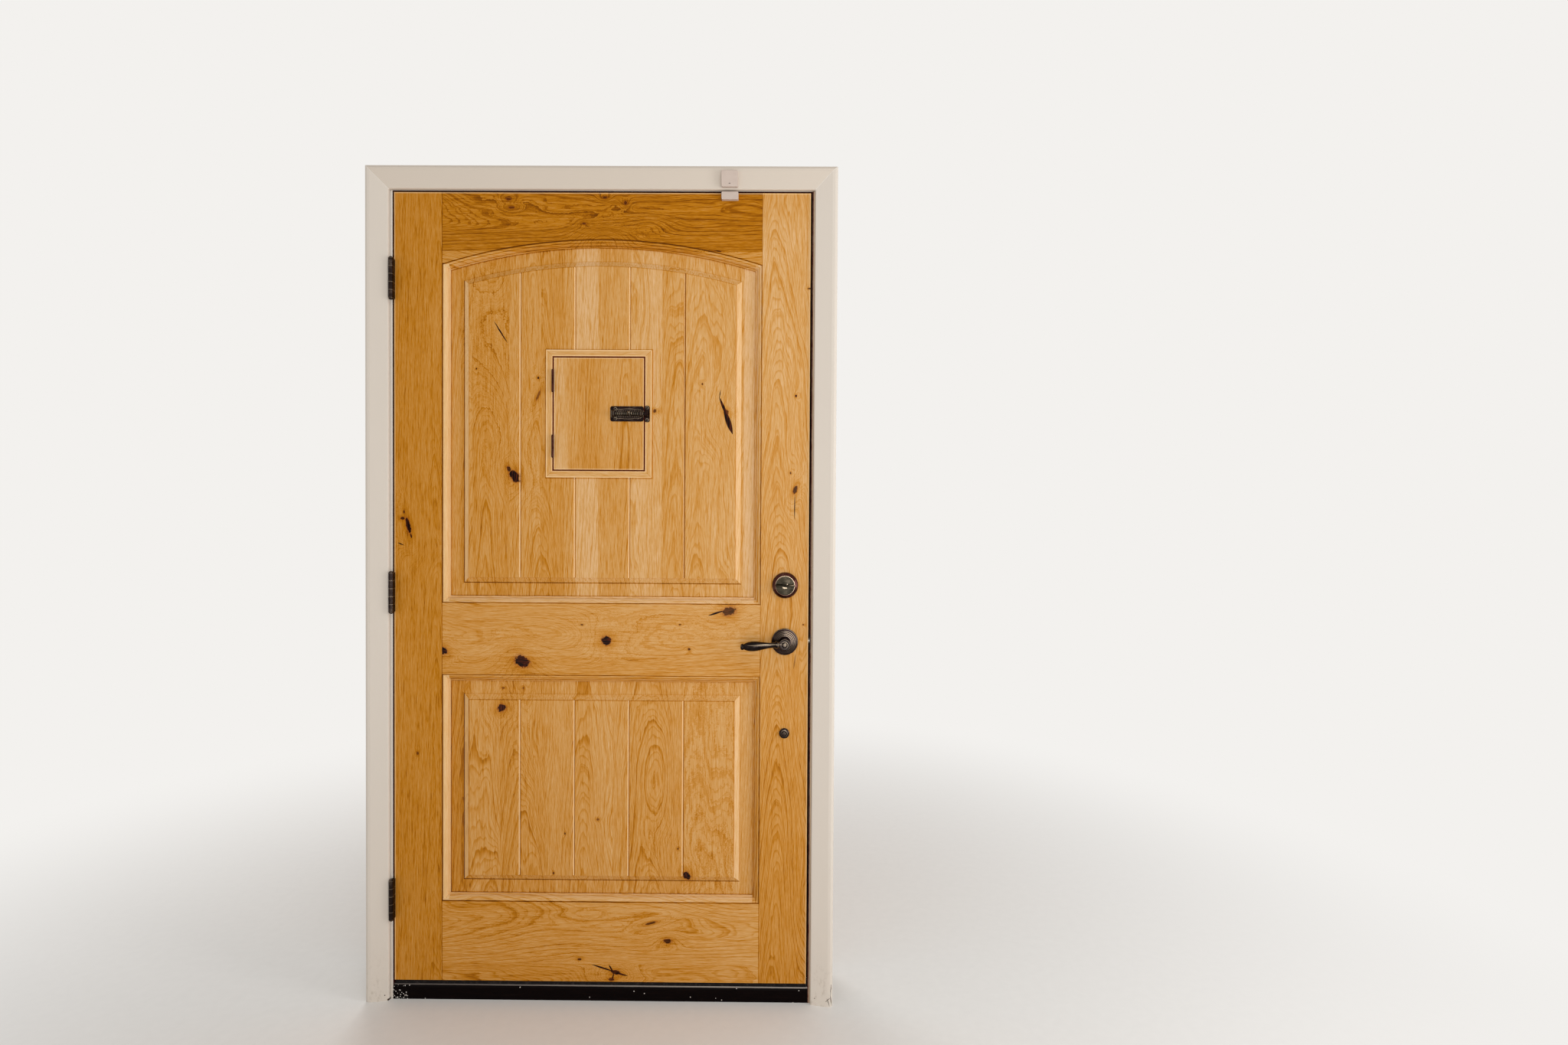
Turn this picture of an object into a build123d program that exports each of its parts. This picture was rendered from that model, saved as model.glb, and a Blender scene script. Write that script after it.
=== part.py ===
from build123d import *
from dataclasses import dataclass
from math import cos, radians, sin, sqrt
import os

# Panelled entry door in its frame, without the wall: a knotty alder slab with an arched raised
# panel, a hatch to look through, three butt hinges, a lever lock and a deadbolt, hung in a
# cased jamb with applied stops over a metal sill.
# Millimetres. +X is to the right as seen from the room, the room side faces -Y, +Z is up.
# The origin is the middle of the sill's underside, at floor level and at mid depth of the jambs.

# How far a cutter runs past the face that it cuts
OVERCUT = 1.0

# Slab
SLAB_WIDTH = 1067.0
SLAB_HEIGHT = 2032.0
SLAB_THICKNESS = 44.5
SLAB_GAP = 4.0
SLAB_LIFT = 50.0

# Stiles, rails and panels: faces are measured to the moulded edges
STILE_FACE = 123.5
TOP_RAIL_FACE = 182.5
ARCH_RISE = 63.5
LOCK_RAIL_FACE = 185.4
LOWER_OPENING = 588.4
BOTTOM_RAIL_FACE = 206.7
STICKING = 17.0
STICKING_QUIRK = 1.6
STICKING_DEPTH = 10.6
STICKING_LEDGE = 4.0
OVOLO_FACETS = 4
GROOVE_DEPTH = 12.0
PANEL_EDGE = 16.0
PANEL_FIT = 0.15
PANEL_FLOAT = 3.0
PANEL_THICKNESS = 32.0
PANEL_HIP = 35.0
PANEL_BEVEL = 14.0
FIELD_STEP = 1.4
PLANK_WIDTH = 141.0
PLANK_GROOVES = 4
VGROOVE_WIDTH = 6.0
VGROOVE_DEPTH = 3.0

# Jambs, seals, casing and outside moulding
JAMB_DEPTH = 116.7
JAMB_LEG = 19.0
STOP_HEIGHT = 12.7
SEAL_SPACE = 4.8
SEAL_FIT = 0.3
SEAL_END = 1.0
CASING_WIDTH = 57.2
CASING_THIN = 9.6
CASING_THICK = 16.6
CASING_ROUND = 4.0
CASING_CROWN = 44.0
CASING_BACK_EDGE = 12.5
CASING_REVEAL = 6.3
HEAD_REVEAL = 1.2
MOULD_WIDTH = 50.8
MOULD_THICKNESS = 31.8
MOULD_STEP = 9.0

# Sill and sweep
SILL_TOP = 34.5
SILL_NOSE = 3.0
SILL_OVERHANG = 22.0
SILL_OUTER_EDGE = 14.0
CAP_SETBACK = 4.0
CAP_WIDTH = 36.0
CAP_HEIGHT = 3.5
SWEEP_INSET = 1.5
SWEEP_PLATE = 3.0
SWEEP_FIN = 2.0
SWEEP_FINS = 4
SWEEP_CLEARANCE = 0.4

# Lock fittings
BACKSET = 60.3
LEVER_HEIGHT = 886.0
DEADBOLT_RISE = 145.0
GRIP_DROP = 236.0
CROSS_BORE_RADIUS = 27.0
EDGE_BORE_RADIUS = 12.7
CASE_CLEARANCE = 0.4
CASE_TAIL = 15.0
FACEPLATE_THICKNESS = 2.4
FACEPLATE_WIDTH = 25.4
FACEPLATE_HEIGHT = 57.2
PLATE_CORNER = 6.0
SLIDE_FIT = 0.08
TURN_FIT = 0.4
LATCH_RADIUS = 7.9
LATCH_THROW = 12.7
LATCH_FLAT = 3.0
DEADBOLT_RADIUS = 9.0
DEADBOLT_THROW = 25.4
DEADBOLT_KEPT = 17.6
BOLT_CHAMFER = 1.0
HUB_WALL = 2.0
SPINDLE_SIDE = 8.0
TAILPIECE_WIDTH = 7.0
TAILPIECE_THICKNESS = 2.5
STRIKE_THICKNESS = 1.6
STRIKE_WIDTH = 29.0
STRIKE_LIP = 2.4
STRIKE_LIP_HEIGHT = 38.0
STRIKE_CLEARANCE = 3.0
LATCH_POCKET = 15.0

# Lever set
ROSE_RADIUS = 34.0
ROSE_RIM = 3.2
ROSE_STEPS = 5
ROSE_STEP_WIDTH = 3.6
ROSE_STEP_RISE = 2.2
ROSE_EASE = 1.2
ROSE_LAND = 2.8
ROSE_LAND_RISE = 0.4
HUB_RADIUS = 10.5
HUB_FLARE = 14.0
HUB_REACH = 56.0
HUB_BUTTON_RADIUS = 8.0
HUB_BUTTON_RISE = 2.5
HUB_EASE = 2.0
HUB_RING = 1.0
LEVER_AXIS_OUT = 45.0
LEVER_LENGTH = 112.0
LEVER_DROOP = 3.5
LEVER_NECK_RADIUS = 7.2
LEVER_NECK_LENGTH = 26.0
LEVER_NECK_SWELL = 1.4
LEVER_BELLY_RADIUS = 12.0
LEVER_BELLY_BACK = 24.0
LEVER_COLLAR_RADIUS = 9.5
LEVER_COLLAR_GAP = 3.0
LEVER_COLLAR_LENGTH = 7.0
LEVER_FINIAL_RADIUS = 8.0
LEVER_FINIAL_LENGTH = 9.0
LEVER_FINIAL_WAIST = 6.5
LEVER_TIP_RADIUS = 5.0
LEVER_TIP = 1.0

# Deadbolt trim
DEADBOLT_ROSE_RADIUS = 33.5
DEADBOLT_ROSE_HEIGHT = 12.6
DEADBOLT_DISC_RADIUS = 24.0
DEADBOLT_DISC_HEIGHT = 9.4
DEADBOLT_RING_WIDTH = 1.4
DEADBOLT_ROSE_EASE = 2.0
THUMBTURN_HUB_RADIUS = 8.0
THUMBTURN_HALF = 22.5
THUMBTURN_WAIST = 3.2
THUMBTURN_END = 4.6
THUMBTURN_REACH = 28.0
THUMBTURN_DRAFT = 5.0
THUMBTURN_CHAMFER = 1.0
CYLINDER_RADIUS = 30.0
CYLINDER_HEIGHT = 17.0
CYLINDER_NECK_RADIUS = 17.0
CYLINDER_RIM = 3.0
CYLINDER_TAPER = 4.0
CYLINDER_EASE = 2.0
PLUG_RADIUS = 6.5
PLUG_PROUD = 0.5
KEYWAY_WIDTH = 2.2
KEYWAY_HEIGHT = 8.6
KEYWAY_DEPTH = 16.0

# Outside grip
ESCUTCHEON_WIDTH = 66.0
ESCUTCHEON_HEIGHT = 128.0
ESCUTCHEON_THICKNESS = 10.0
ESCUTCHEON_EDGE = 2.5
ESCUTCHEON_CORNER = 32.5
GRIP_RADIUS = 9.0
GRIP_REACH = 56.0
GRIP_BEND = 26.0
GRIP_START = 46.0
FOOT_RADIUS = 19.0
FOOT_THICKNESS = 8.0
GRIP_BOLT_RADIUS = 3.0
GRIP_BOLT_HEAD_RADIUS = 7.0
GRIP_BOLT_HEAD = 3.5
BOLT_HOLE_RADIUS = 4.0
COVER_RADIUS = 13.0
COVER_HEIGHT = 7.0
THUMB_RISE = 12.0
THUMB_ARM_WIDTH = 10.0
THUMB_ARM_HEIGHT = 5.0
THUMB_SLOT_PLAY = 0.5
THUMB_SLOT_HEIGHT = 12.0
THUMB_PIVOT_OUT = 4.0
THUMB_PIVOT_RADIUS = 1.6
THUMB_REACH = 46.0
THUMB_PAD_RADIUS = 13.0
THUMB_PAD_DISH = 2.0

# Hatch
HATCH_X = -8.0
HATCH_HEIGHT = 1468.5
HATCH_FRAME_WIDTH = 272.5
HATCH_FRAME_HEIGHT = 328.0
HATCH_BORDER = 18.0
HATCH_LIP = 10.0
HATCH_PROUD = 3.0
HATCH_GAP = 1.5
HATCH_DOOR_THICKNESS = 16.0
HATCH_SEAT = 0.3
HATCH_HINGE_RISE = 84.0
GRILLE_BAND = 24.0
GRILLE_MARGIN = 5.0
GRILLE_PLATE = 5.0
GRILLE_BAR = 9.0
GRILLE_UPRIGHTS = 3
GRILLE_RAILS = 2

# Hatch bolt
BOLT_PLATE_LENGTH = 85.8
BOLT_PLATE_SETBACK = 1.0
BOLT_PLATE_HEIGHT = 39.0
BOLT_PLATE_THICKNESS = 1.6
BOLT_PLATE_CORNER = 5.0
BOLT_ROD_RADIUS = 4.0
BOLT_FIT = 0.1
BOLT_TRAVEL = 15.0
BOLT_ENGAGED = 9.0
GUIDE_RADIUS = 8.0
GUIDE_LENGTH = 9.0
BEAD_RADIUS = 5.6
BEAD_LENGTH = 2.4
BEAD_PITCH = 4.4
BEADS_EACH_SIDE = 4
KNOB_RADIUS = 6.0
KNOB_REACH = 15.0
KEEPER_WIDTH = 13.0
KEEPER_HEIGHT = 42.0

# Contact sensor
SENSOR_INSET = 206.5
SENSOR_WIDTH = 42.0
SENSOR_HEIGHT = 39.5
SENSOR_THICKNESS = 12.0
SENSOR_RISE = 4.2
SENSOR_ROUND = 3.0
MAGNET_WIDTH = 43.0
MAGNET_HEIGHT = 20.0
MAGNET_THICKNESS = 11.0

# Hinges
KNUCKLE_GAP = 0.3
PIN_FIT = 0.06
LEAF_FIT = 0.1


@dataclass
class HingeSize:
    height: float
    knuckles: int
    leaf_depth: float
    leaf_thickness: float
    leaf_corner: float
    barrel_radius: float
    pin_reach: float
    pin_radius: float
    tip_height: float


DOOR_HINGE = HingeSize(101.6, 5, 38.0, 2.5, 8.0, 6.4, 12.7, 3.2, 3.6)
HATCH_HINGE = HingeSize(55.0, 3, 11.0, 1.2, 2.0, 3.2, 3.6, 1.3, 2.2)
HINGE_RISES = {"bottom": 214.0, "middle": 1007.0, "top": 1809.0}

# Places that follow from the sizes
HALF_SLAB = SLAB_WIDTH / 2
SLAB_TOP = SLAB_LIFT + SLAB_HEIGHT
FRONT = -JAMB_DEPTH / 2
OUTSIDE = JAMB_DEPTH / 2
BACK = FRONT + SLAB_THICKNESS
MIDDLE = (FRONT + BACK) / 2
RABBET_X = HALF_SLAB + SLAB_GAP
RABBET_Y = BACK + SEAL_SPACE
RABBET_Z = SLAB_TOP + SLAB_GAP
STOP_X = RABBET_X - STOP_HEIGHT
STOP_Z = RABBET_Z - STOP_HEIGHT
JAMB_BACK_X = RABBET_X + JAMB_LEG
JAMB_TOP_Z = RABBET_Z + JAMB_LEG
CASING_X = RABBET_X + CASING_REVEAL
CASING_Z = RABBET_Z + HEAD_REVEAL
CAP_TOP = SILL_TOP + CAP_HEIGHT
FIELD_DEPTH = (SLAB_THICKNESS - PANEL_THICKNESS) / 2
BASE_DEPTH = (SLAB_THICKNESS - PANEL_EDGE) / 2
LOCK_X = HALF_SLAB - BACKSET
LEVER_Z = SLAB_LIFT + LEVER_HEIGHT
DEADBOLT_Z = LEVER_Z + DEADBOLT_RISE
GRIP_FOOT_Z = LEVER_Z - GRIP_DROP
HATCH_Z = SLAB_LIFT + HATCH_HEIGHT
HATCH_FRONT = FRONT + FIELD_DEPTH - HATCH_PROUD
HATCH_BACK = BACK - FIELD_DEPTH + HATCH_PROUD
HATCH_LEFT = HATCH_X - HATCH_FRAME_WIDTH / 2
HATCH_RIGHT = HATCH_X + HATCH_FRAME_WIDTH / 2
HATCH_LOW = HATCH_Z - HATCH_FRAME_HEIGHT / 2
HATCH_HIGH = HATCH_Z + HATCH_FRAME_HEIGHT / 2
HATCH_MOUTH = HATCH_RIGHT - HATCH_BORDER
BOLT_PLATE_END = HATCH_MOUTH - HATCH_GAP - BOLT_PLATE_SETBACK
BOLT_PLATE_START = BOLT_PLATE_END - BOLT_PLATE_LENGTH
BOLT_AXIS_Y = HATCH_FRONT - BOLT_PLATE_THICKNESS - BOLT_ROD_RADIUS - BOLT_FIT
LEFT_GUIDE = BOLT_PLATE_START + BOLT_PLATE_CORNER
RIGHT_GUIDE = BOLT_PLATE_END - BOLT_PLATE_SETBACK - GUIDE_LENGTH
SENSOR_X = HALF_SLAB - SENSOR_INSET

ROOMWARD = Rot(90, 0, 0)
OUTWARD = Rot(-90, 0, 0)


def block(x0, x1, y0, y1, z0, z1):
    """A square-edged piece between two opposite corners."""
    middle = Pos((x0 + x1) / 2, (y0 + y1) / 2, (z0 + z1) / 2)
    return middle * Box(x1 - x0, y1 - y0, z1 - z0)


def turned(points):
    """A turned piece, from its half outline of (radius, height) about the local Z axis."""
    outline = Polyline(*[(radius, 0, height) for radius, height in points], close=True)
    return revolve(make_face(outline), Axis.Z)


def rod(radius, start, end):
    """A round bar between two points."""
    line = Edge.make_line(start, end)
    return extrude(Plane(origin=start, z_dir=line % 0) * Circle(radius), line.length)


def edge_plate(x0, x1, y, z, width, height):
    """A round-cornered plate that lies in the YZ plane, between x0 and x1."""
    face = Plane(origin=(x0, y, z), x_dir=(0, 1, 0), z_dir=(1, 0, 0))
    return extrude(face * RectangleRounded(width, height, PLATE_CORNER), x1 - x0)


def mirrored(shape):
    """The same piece on the other side of the door."""
    return mirror(shape, about=Plane.YZ)


# Panel openings, mouldings and raised fields

@dataclass
class Opening:
    half_width: float
    bottom: float
    top: float
    arch_radius: float = 0.0
    arch_centre: float = 0.0

    def corner(self, grow):
        """Height of the upper corners of the outline, grown outwards by a distance."""
        if not self.arch_radius:
            return self.top + grow
        half = self.half_width + grow
        return self.arch_centre + sqrt((self.arch_radius + grow) ** 2 - half**2)

    def outline(self, grow, y):
        """The opening's outline at a depth, grown outwards by a distance."""
        half = self.half_width + grow
        low = self.bottom - grow
        high = self.corner(grow)
        head = Line((half, y, high), (-half, y, high))
        if self.arch_radius:
            crown = self.arch_centre + self.arch_radius + grow
            head = ThreePointArc((half, y, high), (0, y, crown), (-half, y, high))
        return Wire(
            [
                Line((-half, y, low), (half, y, low)),
                Line((half, y, low), (half, y, high)),
                head,
                Line((-half, y, high), (-half, y, low)),
            ]
        )

    def prism(self, grow, y0, y1):
        """The outline as a solid between two depths."""
        return extrude(Face(self.outline(grow, y0)), y1 - y0, dir=(0, 1, 0))

    def stack(self, sections):
        """A ruled solid through outlines given as (grow, depth)."""
        return Solid.make_loft([self.outline(grow, y) for grow, y in sections], ruled=True)


def panel_openings():
    """The lower and the arched upper opening, to the inner line of their mouldings."""
    half = HALF_SLAB - STILE_FACE - STICKING
    lower_bottom = SLAB_LIFT + BOTTOM_RAIL_FACE
    lower_top = lower_bottom + LOWER_OPENING
    upper_bottom = lower_top + LOCK_RAIL_FACE
    upper_corner = SLAB_TOP - TOP_RAIL_FACE
    chord = half + STICKING
    outer_radius = (chord**2 + ARCH_RISE**2) / (2 * ARCH_RISE)
    centre = upper_corner + ARCH_RISE - outer_radius
    lower = Opening(half, lower_bottom + STICKING, lower_top - STICKING)
    upper = Opening(
        half,
        upper_bottom + STICKING,
        upper_corner,
        arch_radius=outer_radius - STICKING,
        arch_centre=centre,
    )
    return lower, upper


def sticking_cutters(opening):
    """What the moulder takes off round an opening: a quirk, then an elliptical ovolo to a ledge."""
    run = STICKING - STICKING_LEDGE
    drop = STICKING_DEPTH - STICKING_QUIRK
    profile = [(STICKING, -OVERCUT), (STICKING, STICKING_QUIRK)]
    for facet in range(1, OVOLO_FACETS + 1):
        turn = radians(90 * facet / OVOLO_FACETS)
        profile.append((STICKING - run * sin(turn), STICKING_DEPTH - drop * cos(turn)))
    room_side = opening.stack([(grow, FRONT + depth) for grow, depth in profile])
    outer_side = opening.stack([(grow, BACK - depth) for grow, depth in profile])
    return room_side, outer_side


def framed_slab(openings):
    """Stiles and rails as one body, with the mouldings, and the grooves that hold the panels."""
    slab = block(-HALF_SLAB, HALF_SLAB, FRONT, BACK, SLAB_LIFT, SLAB_TOP)
    for opening in openings:
        slab -= opening.prism(0, FRONT - OVERCUT, BACK + OVERCUT)
        slab -= opening.prism(GROOVE_DEPTH, FRONT + BASE_DEPTH, BACK - BASE_DEPTH)
        for cutter in sticking_cutters(opening):
            slab -= cutter
    return slab


def stile_regions(openings, side):
    """The space that a stile fills: its full-height face, and its moulded strips."""
    outer = side * (HALF_SLAB + OVERCUT)
    face = side * (HALF_SLAB - STILE_FACE)
    strip = side * (HALF_SLAB - STILE_FACE - STICKING)
    region = block(min(outer, face), max(outer, face), FRONT, BACK, SLAB_LIFT, SLAB_TOP)
    for opening in openings:
        low = opening.bottom - STICKING
        high = opening.corner(STICKING)
        region += block(min(face, strip), max(face, strip), FRONT, BACK, low, high)
    return region


def slab_members(openings):
    """Hinge stile, latch stile, and the bottom, lock and top rails."""
    body = framed_slab(openings)
    left = stile_regions(openings, -1)
    right = stile_regions(openings, 1)
    rails = (body - left - right).solids().sort_by(Axis.Z)
    return body & left, body & right, rails


def raised_panel(opening):
    """A panel with a tongue all round and a raised, V-grooved field on both faces."""
    tongue = GROOVE_DEPTH - PANEL_FLOAT
    panel = opening.prism(tongue, FRONT + BASE_DEPTH + PANEL_FIT, BACK - BASE_DEPTH - PANEL_FIT)
    field = -PANEL_HIP - PANEL_BEVEL
    rise = [
        (-PANEL_HIP, SLAB_THICKNESS / 2),
        (-PANEL_HIP, BASE_DEPTH),
        (field, FIELD_DEPTH + FIELD_STEP),
        (field, FIELD_DEPTH),
    ]
    panel += opening.stack([(grow, FRONT + depth) for grow, depth in rise])
    panel += opening.stack([(grow, BACK - depth) for grow, depth in rise])
    for index in range(PLANK_GROOVES):
        x = (index - (PLANK_GROOVES - 1) / 2) * PLANK_WIDTH
        panel -= vgroove(x, FRONT + FIELD_DEPTH, 1, opening)
        panel -= vgroove(x, BACK - FIELD_DEPTH, -1, opening)
    return panel


def vgroove(x, face, inward, opening):
    """A V-shaped groove down the whole panel, cut from the field's face."""
    half = VGROOVE_WIDTH / 2
    slope = OVERCUT * half / VGROOVE_DEPTH
    over = face - inward * OVERCUT
    section = Polyline(
        (x - half - slope, over, opening.bottom),
        (x + half + slope, over, opening.bottom),
        (x, face + inward * VGROOVE_DEPTH, opening.bottom),
        close=True,
    )
    height = opening.corner(0) + ARCH_RISE - opening.bottom
    return extrude(make_face(section), height, dir=(0, 0, 1))


# Butt hinges

def leaf_plate(x0, x1, y0, y1, z0, z1, corner):
    """A hinge leaf, or its mortise, with its two far corners rounded."""
    plate = block(x0, x1, y0, y1, z0, z1)
    far = plate.edges().filter_by(Axis.X).group_by(Axis.Y)[-1]
    return fillet(far, corner)


def butt_hinge(size, carrier_x, hung_x, face, low):
    """Carrier leaf, hung leaf, pin and the two mortises of a hinge that stands before a face."""
    pin_x = (carrier_x + hung_x) / 2
    pin_y = face - size.pin_reach
    plate_y = pin_y + size.barrel_radius + KNUCKLE_GAP
    high = low + size.height
    spans = [(carrier_x - size.leaf_thickness, carrier_x), (hung_x, hung_x + size.leaf_thickness)]
    leaves = []
    mortises = []
    for x0, x1 in spans:
        deep = face + size.leaf_depth
        leaves.append(leaf_plate(x0, x1, plate_y, deep, low, high, size.leaf_corner))
        mortises.append(
            leaf_plate(
                x0,
                x1,
                face - OVERCUT,
                deep + LEAF_FIT,
                low - LEAF_FIT,
                high + LEAF_FIT,
                size.leaf_corner,
            )
        )
    pitch = size.height / size.knuckles
    for index in range(size.knuckles):
        z0 = low + index * pitch + KNUCKLE_GAP / 2
        z1 = z0 + pitch - KNUCKLE_GAP
        x0, x1 = spans[index % 2]
        knuckle = Pos(pin_x, pin_y, (z0 + z1) / 2) * Cylinder(size.barrel_radius, z1 - z0)
        leaves[index % 2] += knuckle + block(x0, x1, pin_y, plate_y, z0, z1)
    ends = (pin_x, pin_y, low - OVERCUT), (pin_x, pin_y, high + OVERCUT)
    bore = rod(size.pin_radius + PIN_FIT, *ends)
    carrier, hung = [leaf - bore for leaf in leaves]
    seat = KNUCKLE_GAP / 2
    pin = rod(size.pin_radius, (pin_x, pin_y, low), (pin_x, pin_y, high))
    tip = turned(
        [
            (0, -seat),
            (size.barrel_radius * 0.86, -seat),
            (size.barrel_radius * 0.86, size.tip_height * 0.4),
            (size.barrel_radius * 0.5, size.tip_height),
            (0, size.tip_height),
        ]
    )
    pin += Pos(pin_x, pin_y, high) * tip
    pin += Pos(pin_x, pin_y, low) * Rot(180, 0, 0) * tip
    return carrier, hung, pin, mortises[0], mortises[1]


# Trim

def casing_section():
    """Half-tapered casing: u runs out from the door, v stands off the wall."""
    outer_round = CASING_WIDTH - CASING_CROWN
    return make_face(
        [
            Line((0, 0), (0, CASING_THIN - CASING_ROUND)),
            RadiusArc(
                (0, CASING_THIN - CASING_ROUND), (CASING_ROUND, CASING_THIN), CASING_ROUND
            ),
            Line((CASING_ROUND, CASING_THIN), (CASING_CROWN, CASING_THICK)),
            Line((CASING_CROWN, CASING_THICK), (CASING_CROWN + outer_round / 2, CASING_THICK)),
            Line((CASING_CROWN + outer_round / 2, CASING_THICK), (CASING_WIDTH, CASING_BACK_EDGE)),
            Line((CASING_WIDTH, CASING_BACK_EDGE), (CASING_WIDTH, 0)),
            Line((CASING_WIDTH, 0), (0, 0)),
        ]
    )


def mould_section():
    """Outside moulding: a stepped square section."""
    outline = Polyline(
        (0, 0),
        (0, MOULD_THICKNESS - 2 * MOULD_STEP),
        (MOULD_STEP, MOULD_THICKNESS - 2 * MOULD_STEP),
        (2 * MOULD_STEP, MOULD_THICKNESS - MOULD_STEP),
        (3 * MOULD_STEP, MOULD_THICKNESS),
        (MOULD_WIDTH, MOULD_THICKNESS),
        (MOULD_WIDTH, 0),
        close=True,
    )
    return make_face(outline)


def mitred_surround(section, width, inner_x, inner_z, face, outward):
    """Left, right and head pieces of a trim, mitred at the two upper corners."""
    leg_plane = Plane(origin=(-inner_x, face, 0), x_dir=(-1, 0, 0), z_dir=(0, 0, -outward))
    leg = extrude(leg_plane * section, inner_z + width, dir=(0, 0, 1))
    reach = inner_x + width
    head_plane = Plane(origin=(-reach, face, inner_z), x_dir=(0, 0, 1), z_dir=(-outward, 0, 0))
    head = extrude(head_plane * section, 2 * reach, dir=(1, 0, 0))
    left_mitre = Plane(origin=(-inner_x, face, inner_z), z_dir=(1, 0, 1))
    right_mitre = Plane(origin=(inner_x, face, inner_z), z_dir=(-1, 0, 1))
    leg = split(leg, bisect_by=left_mitre, keep=Keep.BOTTOM)
    head = split(head, bisect_by=left_mitre, keep=Keep.TOP)
    head = split(head, bisect_by=right_mitre, keep=Keep.TOP)
    return leg, mirrored(leg), head


# Frame

def side_jamb():
    """The hinge jamb before its mortises."""
    return block(-JAMB_BACK_X, -RABBET_X, FRONT, OUTSIDE, 0, JAMB_TOP_Z)


def head_jamb():
    """The head between the side jambs."""
    return block(-RABBET_X, RABBET_X, FRONT, OUTSIDE, RABBET_Z, JAMB_TOP_Z)


def stop_strips():
    """Stops nailed on the jambs behind the slab: the head's runs between the two at the sides."""
    left = block(-RABBET_X, -STOP_X, RABBET_Y, OUTSIDE, 0, RABBET_Z)
    head = block(-STOP_X, STOP_X, RABBET_Y, OUTSIDE, STOP_Z, RABBET_Z)
    return Compound([left, mirrored(left), head])


def sill():
    """Metal sill that slopes to the outside, notched round the side stops."""
    outline = Polyline(
        (-RABBET_X, FRONT, 0),
        (-RABBET_X, FRONT, SILL_TOP - SILL_NOSE),
        (-RABBET_X, FRONT + SILL_NOSE, SILL_TOP),
        (-RABBET_X, RABBET_Y, SILL_TOP),
        (-RABBET_X, OUTSIDE + SILL_OVERHANG, SILL_OUTER_EDGE),
        (-RABBET_X, OUTSIDE + SILL_OVERHANG, 0),
        close=True,
    )
    body = extrude(make_face(outline), 2 * RABBET_X, dir=(1, 0, 0))
    notch = block(-RABBET_X - OVERCUT, -STOP_X, RABBET_Y, OUTSIDE, -OVERCUT, SILL_TOP + OVERCUT)
    return body - notch - mirrored(notch)


def sill_cap():
    """Riser strip on the sill that the sweep closes on."""
    y0 = FRONT + CAP_SETBACK
    cap = block(-RABBET_X, RABBET_X, y0, y0 + CAP_WIDTH, SILL_TOP, CAP_TOP)
    long_edges = cap.edges().filter_by(Axis.X).group_by(Axis.Z)[-1]
    return chamfer(long_edges, CAP_HEIGHT / 4)


def seals():
    """Compression seals in the rabbet: left, right and head."""
    nose = SEAL_SPACE - SEAL_FIT
    left = block(
        -RABBET_X, -STOP_X - SEAL_END, BACK + SEAL_FIT, RABBET_Y, CAP_TOP + SEAL_END, RABBET_Z
    )
    left = fillet(left.edges().filter_by(Axis.Z).group_by(Axis.Y)[0], nose / 3)
    head = block(
        -STOP_X, STOP_X, BACK + SEAL_FIT, RABBET_Y, STOP_Z + SEAL_END, RABBET_Z
    )
    head = fillet(head.edges().filter_by(Axis.X).group_by(Axis.Y)[0], nose / 3)
    return left, mirrored(left), head


def sweep_strip():
    """Door sweep: a plate under the slab with fins that close on the sill cap."""
    y0 = FRONT + SWEEP_INSET
    y1 = y0 + SLAB_THICKNESS - 2 * SWEEP_INSET
    half = HALF_SLAB - SWEEP_INSET
    strip = block(-half, half, y0, y1, SLAB_LIFT - SWEEP_PLATE, SLAB_LIFT)
    pitch = (CAP_WIDTH - SWEEP_FIN) / (SWEEP_FINS - 1)
    for index in range(SWEEP_FINS):
        y = FRONT + CAP_SETBACK + index * pitch
        strip += block(
            -half, half, y, y + SWEEP_FIN, CAP_TOP + SWEEP_CLEARANCE, SLAB_LIFT - SWEEP_PLATE
        )
    return strip


def strike(height, bolt_radius, lip):
    """A strike plate let into the latch jamb, with the hole that its bolt enters."""
    hole = bolt_radius + STRIKE_CLEARANCE
    back = RABBET_X + STRIKE_THICKNESS
    plate = edge_plate(RABBET_X, back, MIDDLE, height, STRIKE_WIDTH, FACEPLATE_HEIGHT)
    if lip:
        half = STRIKE_LIP_HEIGHT / 2
        plate += block(RABBET_X, back, FRONT - STRIKE_LIP, MIDDLE, height - half, height + half)
    mouth = block(
        RABBET_X - OVERCUT,
        back + OVERCUT,
        MIDDLE - hole,
        MIDDLE + hole,
        height - hole,
        height + hole,
    )
    return plate - mouth


def strike_mortise(height, bolt_radius, lip, depth):
    """The plate's recess and the bolt's pocket in the latch jamb."""
    hole = bolt_radius + STRIKE_CLEARANCE
    back = RABBET_X + STRIKE_THICKNESS
    recess = edge_plate(RABBET_X, back, MIDDLE, height, STRIKE_WIDTH, FACEPLATE_HEIGHT)
    if lip:
        half = STRIKE_LIP_HEIGHT / 2
        recess += block(RABBET_X, back, FRONT - OVERCUT, MIDDLE, height - half, height + half)
    return recess + block(
        RABBET_X - OVERCUT,
        RABBET_X + depth,
        MIDDLE - hole,
        MIDDLE + hole,
        height - hole,
        height + hole,
    )


# Locks

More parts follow.
